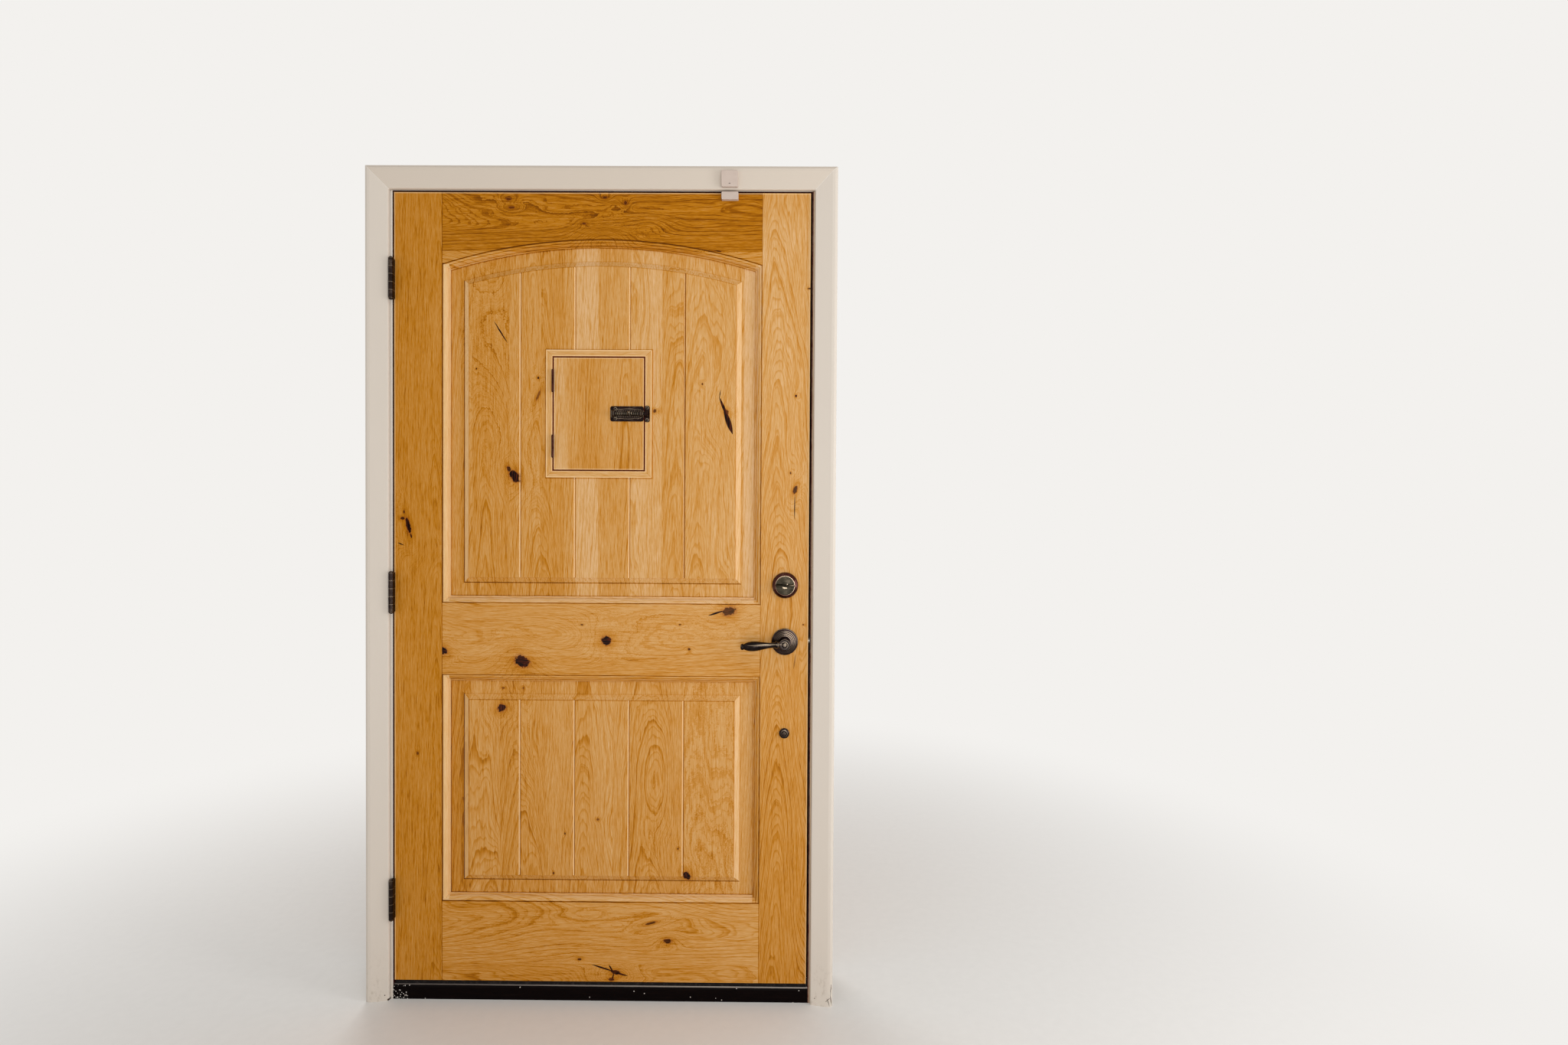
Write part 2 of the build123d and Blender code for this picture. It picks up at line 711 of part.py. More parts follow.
def lock_case(height, bolt_radius, hub_radius):
    """Tubular lock body and its faceplate, with a bore for the bolt and a hole for the hub."""
    plate_back = HALF_SLAB - FACEPLATE_THICKNESS
    case = edge_plate(plate_back, HALF_SLAB, MIDDLE, height, FACEPLATE_WIDTH, FACEPLATE_HEIGHT)
    tail = LOCK_X - CASE_TAIL
    radius = EDGE_BORE_RADIUS - CASE_CLEARANCE
    case += rod(radius, (tail, MIDDLE, height), (plate_back, MIDDLE, height))
    mouth = LOCK_X + hub_radius + HUB_WALL
    end = HALF_SLAB + OVERCUT
    case -= rod(bolt_radius + SLIDE_FIT, (mouth, MIDDLE, height), (end, MIDDLE, height))
    return case - rod(hub_radius, (LOCK_X, FRONT, height), (LOCK_X, BACK, height))


def through_stile(radius, height):
    """A round hole through the latch stile, on the locks' upright line."""
    return rod(radius, (LOCK_X, FRONT - OVERCUT, height), (LOCK_X, BACK + OVERCUT, height))


def lock_bores(height):
    """Cross bore, edge bore and faceplate recess in the latch stile."""
    bores = through_stile(CROSS_BORE_RADIUS, height)
    edge = (HALF_SLAB + OVERCUT, MIDDLE, height)
    bores += rod(EDGE_BORE_RADIUS, (LOCK_X - CASE_TAIL, MIDDLE, height), edge)
    return bores + edge_plate(
        HALF_SLAB - FACEPLATE_THICKNESS,
        HALF_SLAB + OVERCUT,
        MIDDLE,
        height,
        FACEPLATE_WIDTH,
        FACEPLATE_HEIGHT,
    )


def latch_bolt():
    """Spring latch: its outer side is bevelled, so that it rides over the strike's lip."""
    hub = SPINDLE_SIDE / sqrt(2) + TURN_FIT
    start = LOCK_X + hub + HUB_WALL + LATCH_THROW
    tip = HALF_SLAB + LATCH_THROW
    bolt = rod(LATCH_RADIUS, (start, MIDDLE, LEVER_Z), (tip, MIDDLE, LEVER_Z))
    outer = MIDDLE + LATCH_RADIUS
    wedge = Polyline(
        (HALF_SLAB, outer, LEVER_Z),
        (tip + OVERCUT, outer, LEVER_Z),
        (tip + OVERCUT, MIDDLE - LATCH_RADIUS + LATCH_FLAT, LEVER_Z),
        (tip, MIDDLE - LATCH_RADIUS + LATCH_FLAT, LEVER_Z),
        close=True,
    )
    height = 4 * LATCH_RADIUS
    cutter = extrude(make_face(wedge), height, dir=(0, 0, 1))
    return bolt - Pos(0, 0, -height / 2) * cutter


def deadbolt():
    """Deadbolt, drawn back flush with its faceplate, long enough to stay held when thrown."""
    tip = (HALF_SLAB, MIDDLE, DEADBOLT_Z)
    start = HALF_SLAB - DEADBOLT_THROW - DEADBOLT_KEPT
    body = rod(DEADBOLT_RADIUS, (start, MIDDLE, DEADBOLT_Z), tip)
    return chamfer(body.edges().sort_by(Axis.X)[-1], BOLT_CHAMFER)


def lever_rose():
    """Round rose with concentric steps, open in the middle for the lever's hub."""
    inner = HUB_RADIUS + TURN_FIT
    points = [(inner, 0), (ROSE_RADIUS, 0), (ROSE_RADIUS, ROSE_RIM)]
    for step in range(ROSE_STEPS):
        radius = ROSE_RADIUS - ROSE_EASE - step * ROSE_STEP_WIDTH
        height = ROSE_RIM + ROSE_EASE + step * ROSE_STEP_RISE
        points.append((radius, height))
        points.append((radius - ROSE_LAND, height + ROSE_LAND_RISE))
    points.append((inner, points[-1][1]))
    return Pos(LOCK_X, FRONT, LEVER_Z) * ROOMWARD * turned(points)


def lever_handle():
    """Cast lever: a flared hub with a button, and a turned, drooping arm with a finial."""
    hub = turned(
        [
            (0, -BASE_DEPTH / 2),
            (HUB_RADIUS, -BASE_DEPTH / 2),
            (HUB_RADIUS, LEVER_AXIS_OUT - HUB_FLARE),
            (HUB_FLARE - HUB_EASE / 2, LEVER_AXIS_OUT - HUB_FLARE / 2),
            (HUB_FLARE, HUB_REACH - HUB_EASE),
            (HUB_FLARE - HUB_EASE, HUB_REACH),
            (HUB_BUTTON_RADIUS + HUB_RING, HUB_REACH),
            (HUB_BUTTON_RADIUS + HUB_RING, HUB_REACH - HUB_RING),
            (HUB_BUTTON_RADIUS, HUB_REACH - HUB_RING),
            (HUB_BUTTON_RADIUS * 0.925, HUB_REACH + HUB_BUTTON_RISE * 0.7),
            (HUB_BUTTON_RADIUS * 0.5, HUB_REACH + HUB_BUTTON_RISE),
            (0, HUB_REACH + HUB_BUTTON_RISE),
        ]
    )
    collar_start = HUB_FLARE + LEVER_COLLAR_GAP
    collar_end = collar_start + LEVER_COLLAR_LENGTH
    swell = LEVER_NECK_RADIUS + LEVER_NECK_SWELL
    belly = LEVER_LENGTH - LEVER_BELLY_BACK
    finial_start = LEVER_LENGTH - LEVER_FINIAL_LENGTH
    finial_middle = finial_start + LEVER_FINIAL_LENGTH / 2 - LEVER_TIP / 2
    finial_end = LEVER_LENGTH - LEVER_TIP
    outline = make_face(
        [
            Line((0, 0, 0), (LEVER_NECK_RADIUS, 0, 0)),
            Line((LEVER_NECK_RADIUS, 0, 0), (LEVER_NECK_RADIUS, 0, collar_start)),
            ThreePointArc(
                (LEVER_NECK_RADIUS, 0, collar_start),
                (LEVER_COLLAR_RADIUS, 0, (collar_start + collar_end) / 2),
                (LEVER_NECK_RADIUS, 0, collar_end),
            ),
            Spline(
                (LEVER_NECK_RADIUS, 0, collar_end),
                (swell, 0, collar_end + LEVER_NECK_LENGTH),
                (LEVER_BELLY_RADIUS, 0, belly),
                (LEVER_FINIAL_WAIST, 0, finial_start),
            ),
            ThreePointArc(
                (LEVER_FINIAL_WAIST, 0, finial_start),
                (LEVER_FINIAL_RADIUS, 0, finial_middle),
                (LEVER_TIP_RADIUS, 0, finial_end),
            ),
            Line((LEVER_TIP_RADIUS, 0, finial_end), (0, 0, LEVER_LENGTH)),
            Line((0, 0, LEVER_LENGTH), (0, 0, 0)),
        ]
    )
    arm = revolve(outline, Axis.Z)
    hub = Pos(LOCK_X, FRONT, LEVER_Z) * ROOMWARD * hub
    arm = Pos(LOCK_X, FRONT - LEVER_AXIS_OUT, LEVER_Z) * Rot(0, -90 - LEVER_DROOP, 0) * arm
    return hub + arm


def lever_spindle():
    """Square bar from the lever's hub through the lock body."""
    half = SPINDLE_SIDE / 2
    start = FRONT + BASE_DEPTH / 2
    return block(
        LOCK_X - half, LOCK_X + half, start, BACK - half, LEVER_Z - half, LEVER_Z + half
    )


def deadbolt_rose():
    """Dished rose with a raised rim round the thumbturn's disc."""
    rim = DEADBOLT_DISC_RADIUS + DEADBOLT_RING_WIDTH
    rose = turned(
        [
            (THUMBTURN_HUB_RADIUS + TURN_FIT, 0),
            (DEADBOLT_ROSE_RADIUS, 0),
            (DEADBOLT_ROSE_RADIUS, DEADBOLT_ROSE_EASE),
            (DEADBOLT_ROSE_RADIUS - DEADBOLT_ROSE_EASE, DEADBOLT_DISC_HEIGHT - DEADBOLT_ROSE_EASE),
            (rim, DEADBOLT_ROSE_HEIGHT - 0.4 * DEADBOLT_ROSE_EASE),
            (rim - 0.2 * DEADBOLT_ROSE_EASE, DEADBOLT_ROSE_HEIGHT),
            (DEADBOLT_DISC_RADIUS, DEADBOLT_ROSE_HEIGHT),
            (DEADBOLT_DISC_RADIUS - 0.3 * DEADBOLT_ROSE_EASE, DEADBOLT_DISC_HEIGHT),
            (THUMBTURN_HUB_RADIUS + TURN_FIT, DEADBOLT_DISC_HEIGHT),
        ]
    )
    return Pos(LOCK_X, FRONT, DEADBOLT_Z) * ROOMWARD * rose


def thumbturn():
    """Waisted paddle on a round hub."""
    end = THUMBTURN_HALF
    tip = THUMBTURN_HALF + THUMBTURN_END / 2
    outline = make_face(
        [
            ThreePointArc((-end, -THUMBTURN_END), (0, -THUMBTURN_WAIST), (end, -THUMBTURN_END)),
            ThreePointArc((end, -THUMBTURN_END), (tip, 0), (end, THUMBTURN_END)),
            ThreePointArc((end, THUMBTURN_END), (0, THUMBTURN_WAIST), (-end, THUMBTURN_END)),
            ThreePointArc((-end, THUMBTURN_END), (-tip, 0), (-end, -THUMBTURN_END)),
        ]
    )
    base = DEADBOLT_ROSE_HEIGHT + TURN_FIT
    paddle = Pos(0, 0, base) * extrude(outline, THUMBTURN_REACH - base, taper=THUMBTURN_DRAFT)
    paddle = chamfer(paddle.edges().group_by(Axis.Z)[-1], THUMBTURN_CHAMFER)
    hub = rod(THUMBTURN_HUB_RADIUS, (0, 0, -BASE_DEPTH / 2), (0, 0, base))
    turn = paddle + hub
    return Pos(LOCK_X, FRONT, DEADBOLT_Z) * ROOMWARD * turn


def tailpiece():
    """Flat bar that carries the thumbturn's turn through the deadbolt's body."""
    wide = TAILPIECE_WIDTH / 2
    thin = TAILPIECE_THICKNESS / 2
    start = FRONT + BASE_DEPTH / 2
    end = BACK - BASE_DEPTH / 2 - TURN_FIT
    return block(LOCK_X - wide, LOCK_X + wide, start, end, DEADBOLT_Z - thin, DEADBOLT_Z + thin)


def deadbolt_cylinder():
    """Outside cylinder collar with the bore that the key plug turns in."""
    bore = PLUG_RADIUS + SLIDE_FIT
    shoulder = CYLINDER_RADIUS - CYLINDER_TAPER
    collar = turned(
        [
            (bore, -BASE_DEPTH / 2),
            (CYLINDER_NECK_RADIUS, -BASE_DEPTH / 2),
            (CYLINDER_NECK_RADIUS, 0),
            (CYLINDER_RADIUS, 0),
            (CYLINDER_RADIUS, CYLINDER_RIM),
            (shoulder, CYLINDER_HEIGHT - CYLINDER_EASE),
            (shoulder - CYLINDER_EASE, CYLINDER_HEIGHT),
            (bore, CYLINDER_HEIGHT),
        ]
    )
    return Pos(LOCK_X, BACK, DEADBOLT_Z) * OUTWARD * collar


def key_plug():
    """Round key plug with its keyway."""
    inner = -BASE_DEPTH / 2 + TURN_FIT
    length = CYLINDER_HEIGHT - inner + PLUG_PROUD
    plug = Pos(0, 0, inner + length / 2) * Cylinder(PLUG_RADIUS, length)
    slot = Box(KEYWAY_WIDTH, KEYWAY_HEIGHT, KEYWAY_DEPTH + OVERCUT)
    plug -= Pos(0, 0, inner + length - (KEYWAY_DEPTH - OVERCUT) / 2) * slot
    return Pos(LOCK_X, BACK, DEADBOLT_Z) * OUTWARD * plug


# Outside grip and its bolt

def escutcheon_slot():
    """Room for the thumb latch's arm and its pivot."""
    half = THUMB_ARM_WIDTH / 2 + THUMB_SLOT_PLAY
    z = LEVER_Z + THUMB_RISE
    tall = THUMB_SLOT_HEIGHT / 2
    slot = block(
        LOCK_X - half,
        LOCK_X + half,
        BACK - OVERCUT,
        BACK + ESCUTCHEON_THICKNESS + OVERCUT,
        z - tall,
        z + tall,
    )
    ear = half + 3 * THUMB_PIVOT_RADIUS
    y = BACK + THUMB_PIVOT_OUT
    return slot + rod(THUMB_PIVOT_RADIUS + SLIDE_FIT, (LOCK_X - ear, y, z), (LOCK_X + ear, y, z))


def outside_grip():
    """Oval escutcheon, bowed grip and foot, cast in one."""
    plane = Plane(origin=(LOCK_X, BACK, LEVER_Z), x_dir=(1, 0, 0), z_dir=(0, 1, 0))
    oval = RectangleRounded(ESCUTCHEON_WIDTH, ESCUTCHEON_HEIGHT, ESCUTCHEON_CORNER)
    plate = extrude(plane * oval, ESCUTCHEON_THICKNESS)
    plate = chamfer(plate.faces().sort_by(Axis.Y)[-1].edges(), ESCUTCHEON_EDGE)
    plate -= escutcheon_slot()
    foot_face = (LOCK_X, BACK + FOOT_THICKNESS, GRIP_FOOT_Z)
    foot = rod(FOOT_RADIUS, (LOCK_X, BACK, GRIP_FOOT_Z), foot_face)
    foot = chamfer(foot.faces().sort_by(Axis.Y)[-1].edges(), ESCUTCHEON_EDGE)
    top = LEVER_Z - GRIP_START
    out = BACK + GRIP_REACH
    path = FilletPolyline(
        (LOCK_X, BACK + ESCUTCHEON_THICKNESS / 2, top),
        (LOCK_X, out, top - GRIP_RADIUS),
        (LOCK_X, out, GRIP_FOOT_Z + GRIP_RADIUS),
        (LOCK_X, BACK + FOOT_THICKNESS / 2, GRIP_FOOT_Z),
        radius=GRIP_BEND,
    )
    start = Plane(origin=path @ 0, z_dir=path % 0)
    grip = plate + foot + sweep(start * Circle(GRIP_RADIUS), path=path)
    bolt_end = (LOCK_X, BACK + FOOT_THICKNESS + GRIP_RADIUS / 2, GRIP_FOOT_Z)
    return grip - rod(GRIP_BOLT_RADIUS, (LOCK_X, BACK - OVERCUT, GRIP_FOOT_Z), bolt_end)


def grip_bolt():
    """Bolt through the stile that holds the grip's foot."""
    depth = BACK + FOOT_THICKNESS + GRIP_RADIUS / 2
    shank = rod(GRIP_BOLT_RADIUS, (LOCK_X, FRONT, GRIP_FOOT_Z), (LOCK_X, depth, GRIP_FOOT_Z))
    head = (LOCK_X, FRONT - GRIP_BOLT_HEAD, GRIP_FOOT_Z)
    return shank + rod(GRIP_BOLT_HEAD_RADIUS, head, (LOCK_X, FRONT, GRIP_FOOT_Z))


def bolt_cover():
    """Round cap over the bolt's head, on the room side."""
    room = GRIP_BOLT_HEAD_RADIUS + TURN_FIT
    cap = turned(
        [
            (room, 0),
            (COVER_RADIUS, 0),
            (COVER_RADIUS, COVER_HEIGHT * 0.45),
            (COVER_RADIUS * 0.8, COVER_HEIGHT * 0.7),
            (COVER_RADIUS * 0.45, COVER_HEIGHT * 0.75),
            (COVER_RADIUS * 0.4, COVER_HEIGHT),
            (0, COVER_HEIGHT),
            (0, GRIP_BOLT_HEAD + TURN_FIT),
            (room, GRIP_BOLT_HEAD + TURN_FIT),
        ]
    )
    return Pos(LOCK_X, FRONT, GRIP_FOOT_Z) * ROOMWARD * cap


def thumb_latch():
    """Thumb piece above the grip, on a pivot pin inside the escutcheon."""
    z = LEVER_Z + THUMB_RISE
    y = BACK + THUMB_PIVOT_OUT
    half = THUMB_ARM_WIDTH / 2
    tall = THUMB_ARM_HEIGHT / 2
    inner = BACK - BASE_DEPTH / 2
    pad = BACK + THUMB_REACH - THUMB_PAD_RADIUS
    arm = block(LOCK_X - half, LOCK_X + half, inner, pad, z - tall, z + tall)
    paddle = Pos(LOCK_X, pad, z) * Cylinder(THUMB_PAD_RADIUS, THUMB_ARM_HEIGHT)
    ball = 2 * THUMB_PAD_RADIUS
    hollow = Pos(LOCK_X, pad, z + tall + ball - THUMB_PAD_DISH) * Sphere(ball)
    ear = half + THUMB_SLOT_PLAY + 2 * THUMB_PIVOT_RADIUS
    pivot = rod(THUMB_PIVOT_RADIUS, (LOCK_X - ear, y, z), (LOCK_X + ear, y, z))
    return arm + (paddle - hollow) + pivot


# Hatch

def hatch_frame():
    """Four mitred strips that line the panel's opening, with a lip behind the little door."""
    mid = HATCH_FRONT + HATCH_DOOR_THICKNESS + HATCH_SEAT
    ring = block(HATCH_LEFT, HATCH_RIGHT, HATCH_FRONT, HATCH_BACK, HATCH_LOW, HATCH_HIGH)
    ring -= block(
        HATCH_LEFT + HATCH_BORDER,
        HATCH_RIGHT - HATCH_BORDER,
        HATCH_FRONT - OVERCUT,
        mid,
        HATCH_LOW + HATCH_BORDER,
        HATCH_HIGH - HATCH_BORDER,
    )
    lip = HATCH_BORDER + HATCH_LIP
    ring -= block(
        HATCH_LEFT + lip,
        HATCH_RIGHT - lip,
        mid - OVERCUT,
        HATCH_BACK + OVERCUT,
        HATCH_LOW + lip,
        HATCH_HIGH - lip,
    )
    corners = [
        (HATCH_LEFT, HATCH_LOW, 1, 1),
        (HATCH_RIGHT, HATCH_LOW, -1, 1),
        (HATCH_RIGHT, HATCH_HIGH, -1, -1),
        (HATCH_LEFT, HATCH_HIGH, 1, -1),
    ]
    strips = []
    for index, (x0, z0, dx0, dz0) in enumerate(corners):
        x1, z1, dx1, dz1 = corners[(index + 1) % len(corners)]
        wedge = Polyline(
            (x0, HATCH_FRONT, z0),
            (x1, HATCH_FRONT, z1),
            (x1 + dx1 * lip, HATCH_FRONT, z1 + dz1 * lip),
            (x0 + dx0 * lip, HATCH_FRONT, z0 + dz0 * lip),
            close=True,
        )
        depth = HATCH_BACK - HATCH_FRONT
        strips.append(ring & extrude(make_face(wedge), depth, dir=(0, 1, 0)))
    return strips


def hatch_door():
    """The little door, flush with its frame."""
    inset = HATCH_BORDER + HATCH_GAP
    return block(
        HATCH_LEFT + inset,
        HATCH_RIGHT - inset,
        HATCH_FRONT,
        HATCH_FRONT + HATCH_DOOR_THICKNESS,
        HATCH_LOW + inset,
        HATCH_HIGH - inset,
    )


def grille():
    """Iron grille on the outside: a flat band with uprights and rails between its sides."""
    x0, x1 = HATCH_LEFT + GRILLE_MARGIN, HATCH_RIGHT - GRILLE_MARGIN
    z0, z1 = HATCH_LOW + GRILLE_MARGIN, HATCH_HIGH - GRILLE_MARGIN
    y0, y1 = HATCH_BACK, HATCH_BACK + GRILLE_PLATE
    iron = block(x0, x1, y0, y1, z0, z1)
    iron -= block(
        x0 + GRILLE_BAND,
        x1 - GRILLE_BAND,
        y0 - OVERCUT,
        y1 + OVERCUT,
        z0 + GRILLE_BAND,
        z1 - GRILLE_BAND,
    )
    half = GRILLE_BAR / 2
    across = x1 - x0 - 2 * GRILLE_BAND
    for index in range(1, GRILLE_UPRIGHTS + 1):
        x = x0 + GRILLE_BAND + across * index / (GRILLE_UPRIGHTS + 1)
        iron += block(x - half, x + half, y0, y0 + GRILLE_BAR, z0 + half, z1 - half)
    tall = z1 - z0 - 2 * GRILLE_BAND
    for index in range(1, GRILLE_RAILS + 1):
        z = z0 + GRILLE_BAND + tall * index / (GRILLE_RAILS + 1)
        iron += block(x0 + half, x1 - half, y0, y0 + GRILLE_BAR, z - half, z + half)
    return iron


def guide(x, length):
    """Arched guide over the hatch bolt's rod."""
    arch = rod(GUIDE_RADIUS, (x, BOLT_AXIS_Y, HATCH_Z), (x + length, BOLT_AXIS_Y, HATCH_Z))
    low, high = HATCH_Z - GUIDE_RADIUS, HATCH_Z + GUIDE_RADIUS
    foot = block(x, x + length, BOLT_AXIS_Y, HATCH_FRONT, low, high)
    start, end = x - OVERCUT, x + length + OVERCUT
    behind = block(start, end, HATCH_FRONT, BACK, low - OVERCUT, high + OVERCUT)
    return arch + foot - behind


def room_plate(x0, x1, height):
    """A round-cornered plate on the hatch's room face."""
    plane = Plane(origin=((x0 + x1) / 2, HATCH_FRONT, HATCH_Z), x_dir=(1, 0, 0), z_dir=(0, -1, 0))
    corner = min(BOLT_PLATE_CORNER, (x1 - x0) / 2.5)
    return extrude(plane * RectangleRounded(x1 - x0, height, corner), BOLT_PLATE_THICKNESS)


def bolt_run():
    """The space that the rod runs in, with its clearance."""
    start = (LEFT_GUIDE - BOLT_TRAVEL, BOLT_AXIS_Y, HATCH_Z)
    return rod(BOLT_ROD_RADIUS + BOLT_FIT, start, (HATCH_RIGHT, BOLT_AXIS_Y, HATCH_Z))


def bolt_plate():
    """Base plate of the hatch bolt, with a guide at each end."""
    plate = room_plate(BOLT_PLATE_START, BOLT_PLATE_END, BOLT_PLATE_HEIGHT)
    plate += guide(LEFT_GUIDE, GUIDE_LENGTH)
    plate += guide(RIGHT_GUIDE, GUIDE_LENGTH)
    return plate - bolt_run()


def keeper():
    """Keeper on the hatch frame that the bolt slides into."""
    plate = room_plate(HATCH_MOUTH, HATCH_MOUTH + KEEPER_WIDTH, KEEPER_HEIGHT)
    plate += guide(HATCH_MOUTH + BOLT_PLATE_SETBACK, GUIDE_LENGTH)
    return plate - bolt_run()


def hatch_bolt():
    """Slide bolt: a rod with turned beads either side of its knob."""
    tip = HATCH_MOUTH + BOLT_ENGAGED
    bolt = rod(BOLT_ROD_RADIUS, (LEFT_GUIDE, BOLT_AXIS_Y, HATCH_Z), (tip, BOLT_AXIS_Y, HATCH_Z))
    knob_x = (LEFT_GUIDE + GUIDE_LENGTH + BOLT_TRAVEL + RIGHT_GUIDE) / 2
    half = BEAD_LENGTH / 2
    for side in (-1, 1):
        for index in range(BEADS_EACH_SIDE):
            x = knob_x + side * (KNOB_RADIUS + half + BEAD_PITCH * index)
            bead = ((x - half, BOLT_AXIS_Y, HATCH_Z), (x + half, BOLT_AXIS_Y, HATCH_Z))
            bolt += rod(BEAD_RADIUS, *bead)
    neck = KNOB_RADIUS * 0.58
    knob = turned(
        [
            (0, 0),
            (neck, 0),
            (neck, KNOB_REACH * 0.45),
            (KNOB_RADIUS, KNOB_REACH * 0.62),
            (KNOB_RADIUS, KNOB_REACH * 0.82),
            (KNOB_RADIUS * 0.6, KNOB_REACH),
            (0, KNOB_REACH),
        ]
    )
    bolt += Pos(knob_x, BOLT_AXIS_Y, HATCH_Z) * ROOMWARD * knob
    cut = HATCH_FRONT - BOLT_PLATE_THICKNESS - BOLT_FIT
    low, high = HATCH_Z - BEAD_RADIUS, HATCH_Z + BEAD_RADIUS
    return bolt - block(LEFT_GUIDE, tip, cut, cut + BEAD_RADIUS, low, high)


# Contact sensor

def soft_box(width, depth, height):
    """A small moulded housing with rounded upright edges and a softened front."""
    body = extrude(RectangleRounded(width, height, SENSOR_ROUND), depth)
    return chamfer(body.faces().sort_by(Axis.Z)[-1].edges(), SENSOR_ROUND / 4)


def sensor_body():
    """Sensor on the head casing, leaning with the casing's face."""
    run = CASING_CROWN - CASING_ROUND
    rise = CASING_THICK - CASING_THIN
    length = sqrt(run**2 + rise**2)
    along = SENSOR_RISE + SENSOR_HEIGHT / 2 - CASING_ROUND
    y = FRONT - CASING_THIN - along * rise / length
    z = CASING_Z + CASING_ROUND + along * run / length
    face = Plane(origin=(SENSOR_X, y, z), x_dir=(1, 0, 0), z_dir=(0, -run, -rise))
    return face * soft_box(SENSOR_WIDTH, SENSOR_THICKNESS, SENSOR_HEIGHT)


def sensor_magnet():
    """The sensor's magnet, at the slab's upper edge."""
    z = SLAB_TOP - MAGNET_HEIGHT / 2
    body = soft_box(MAGNET_WIDTH, MAGNET_THICKNESS, MAGNET_HEIGHT)
    return Pos(SENSOR_X, FRONT, z) * ROOMWARD * body


# Assembly

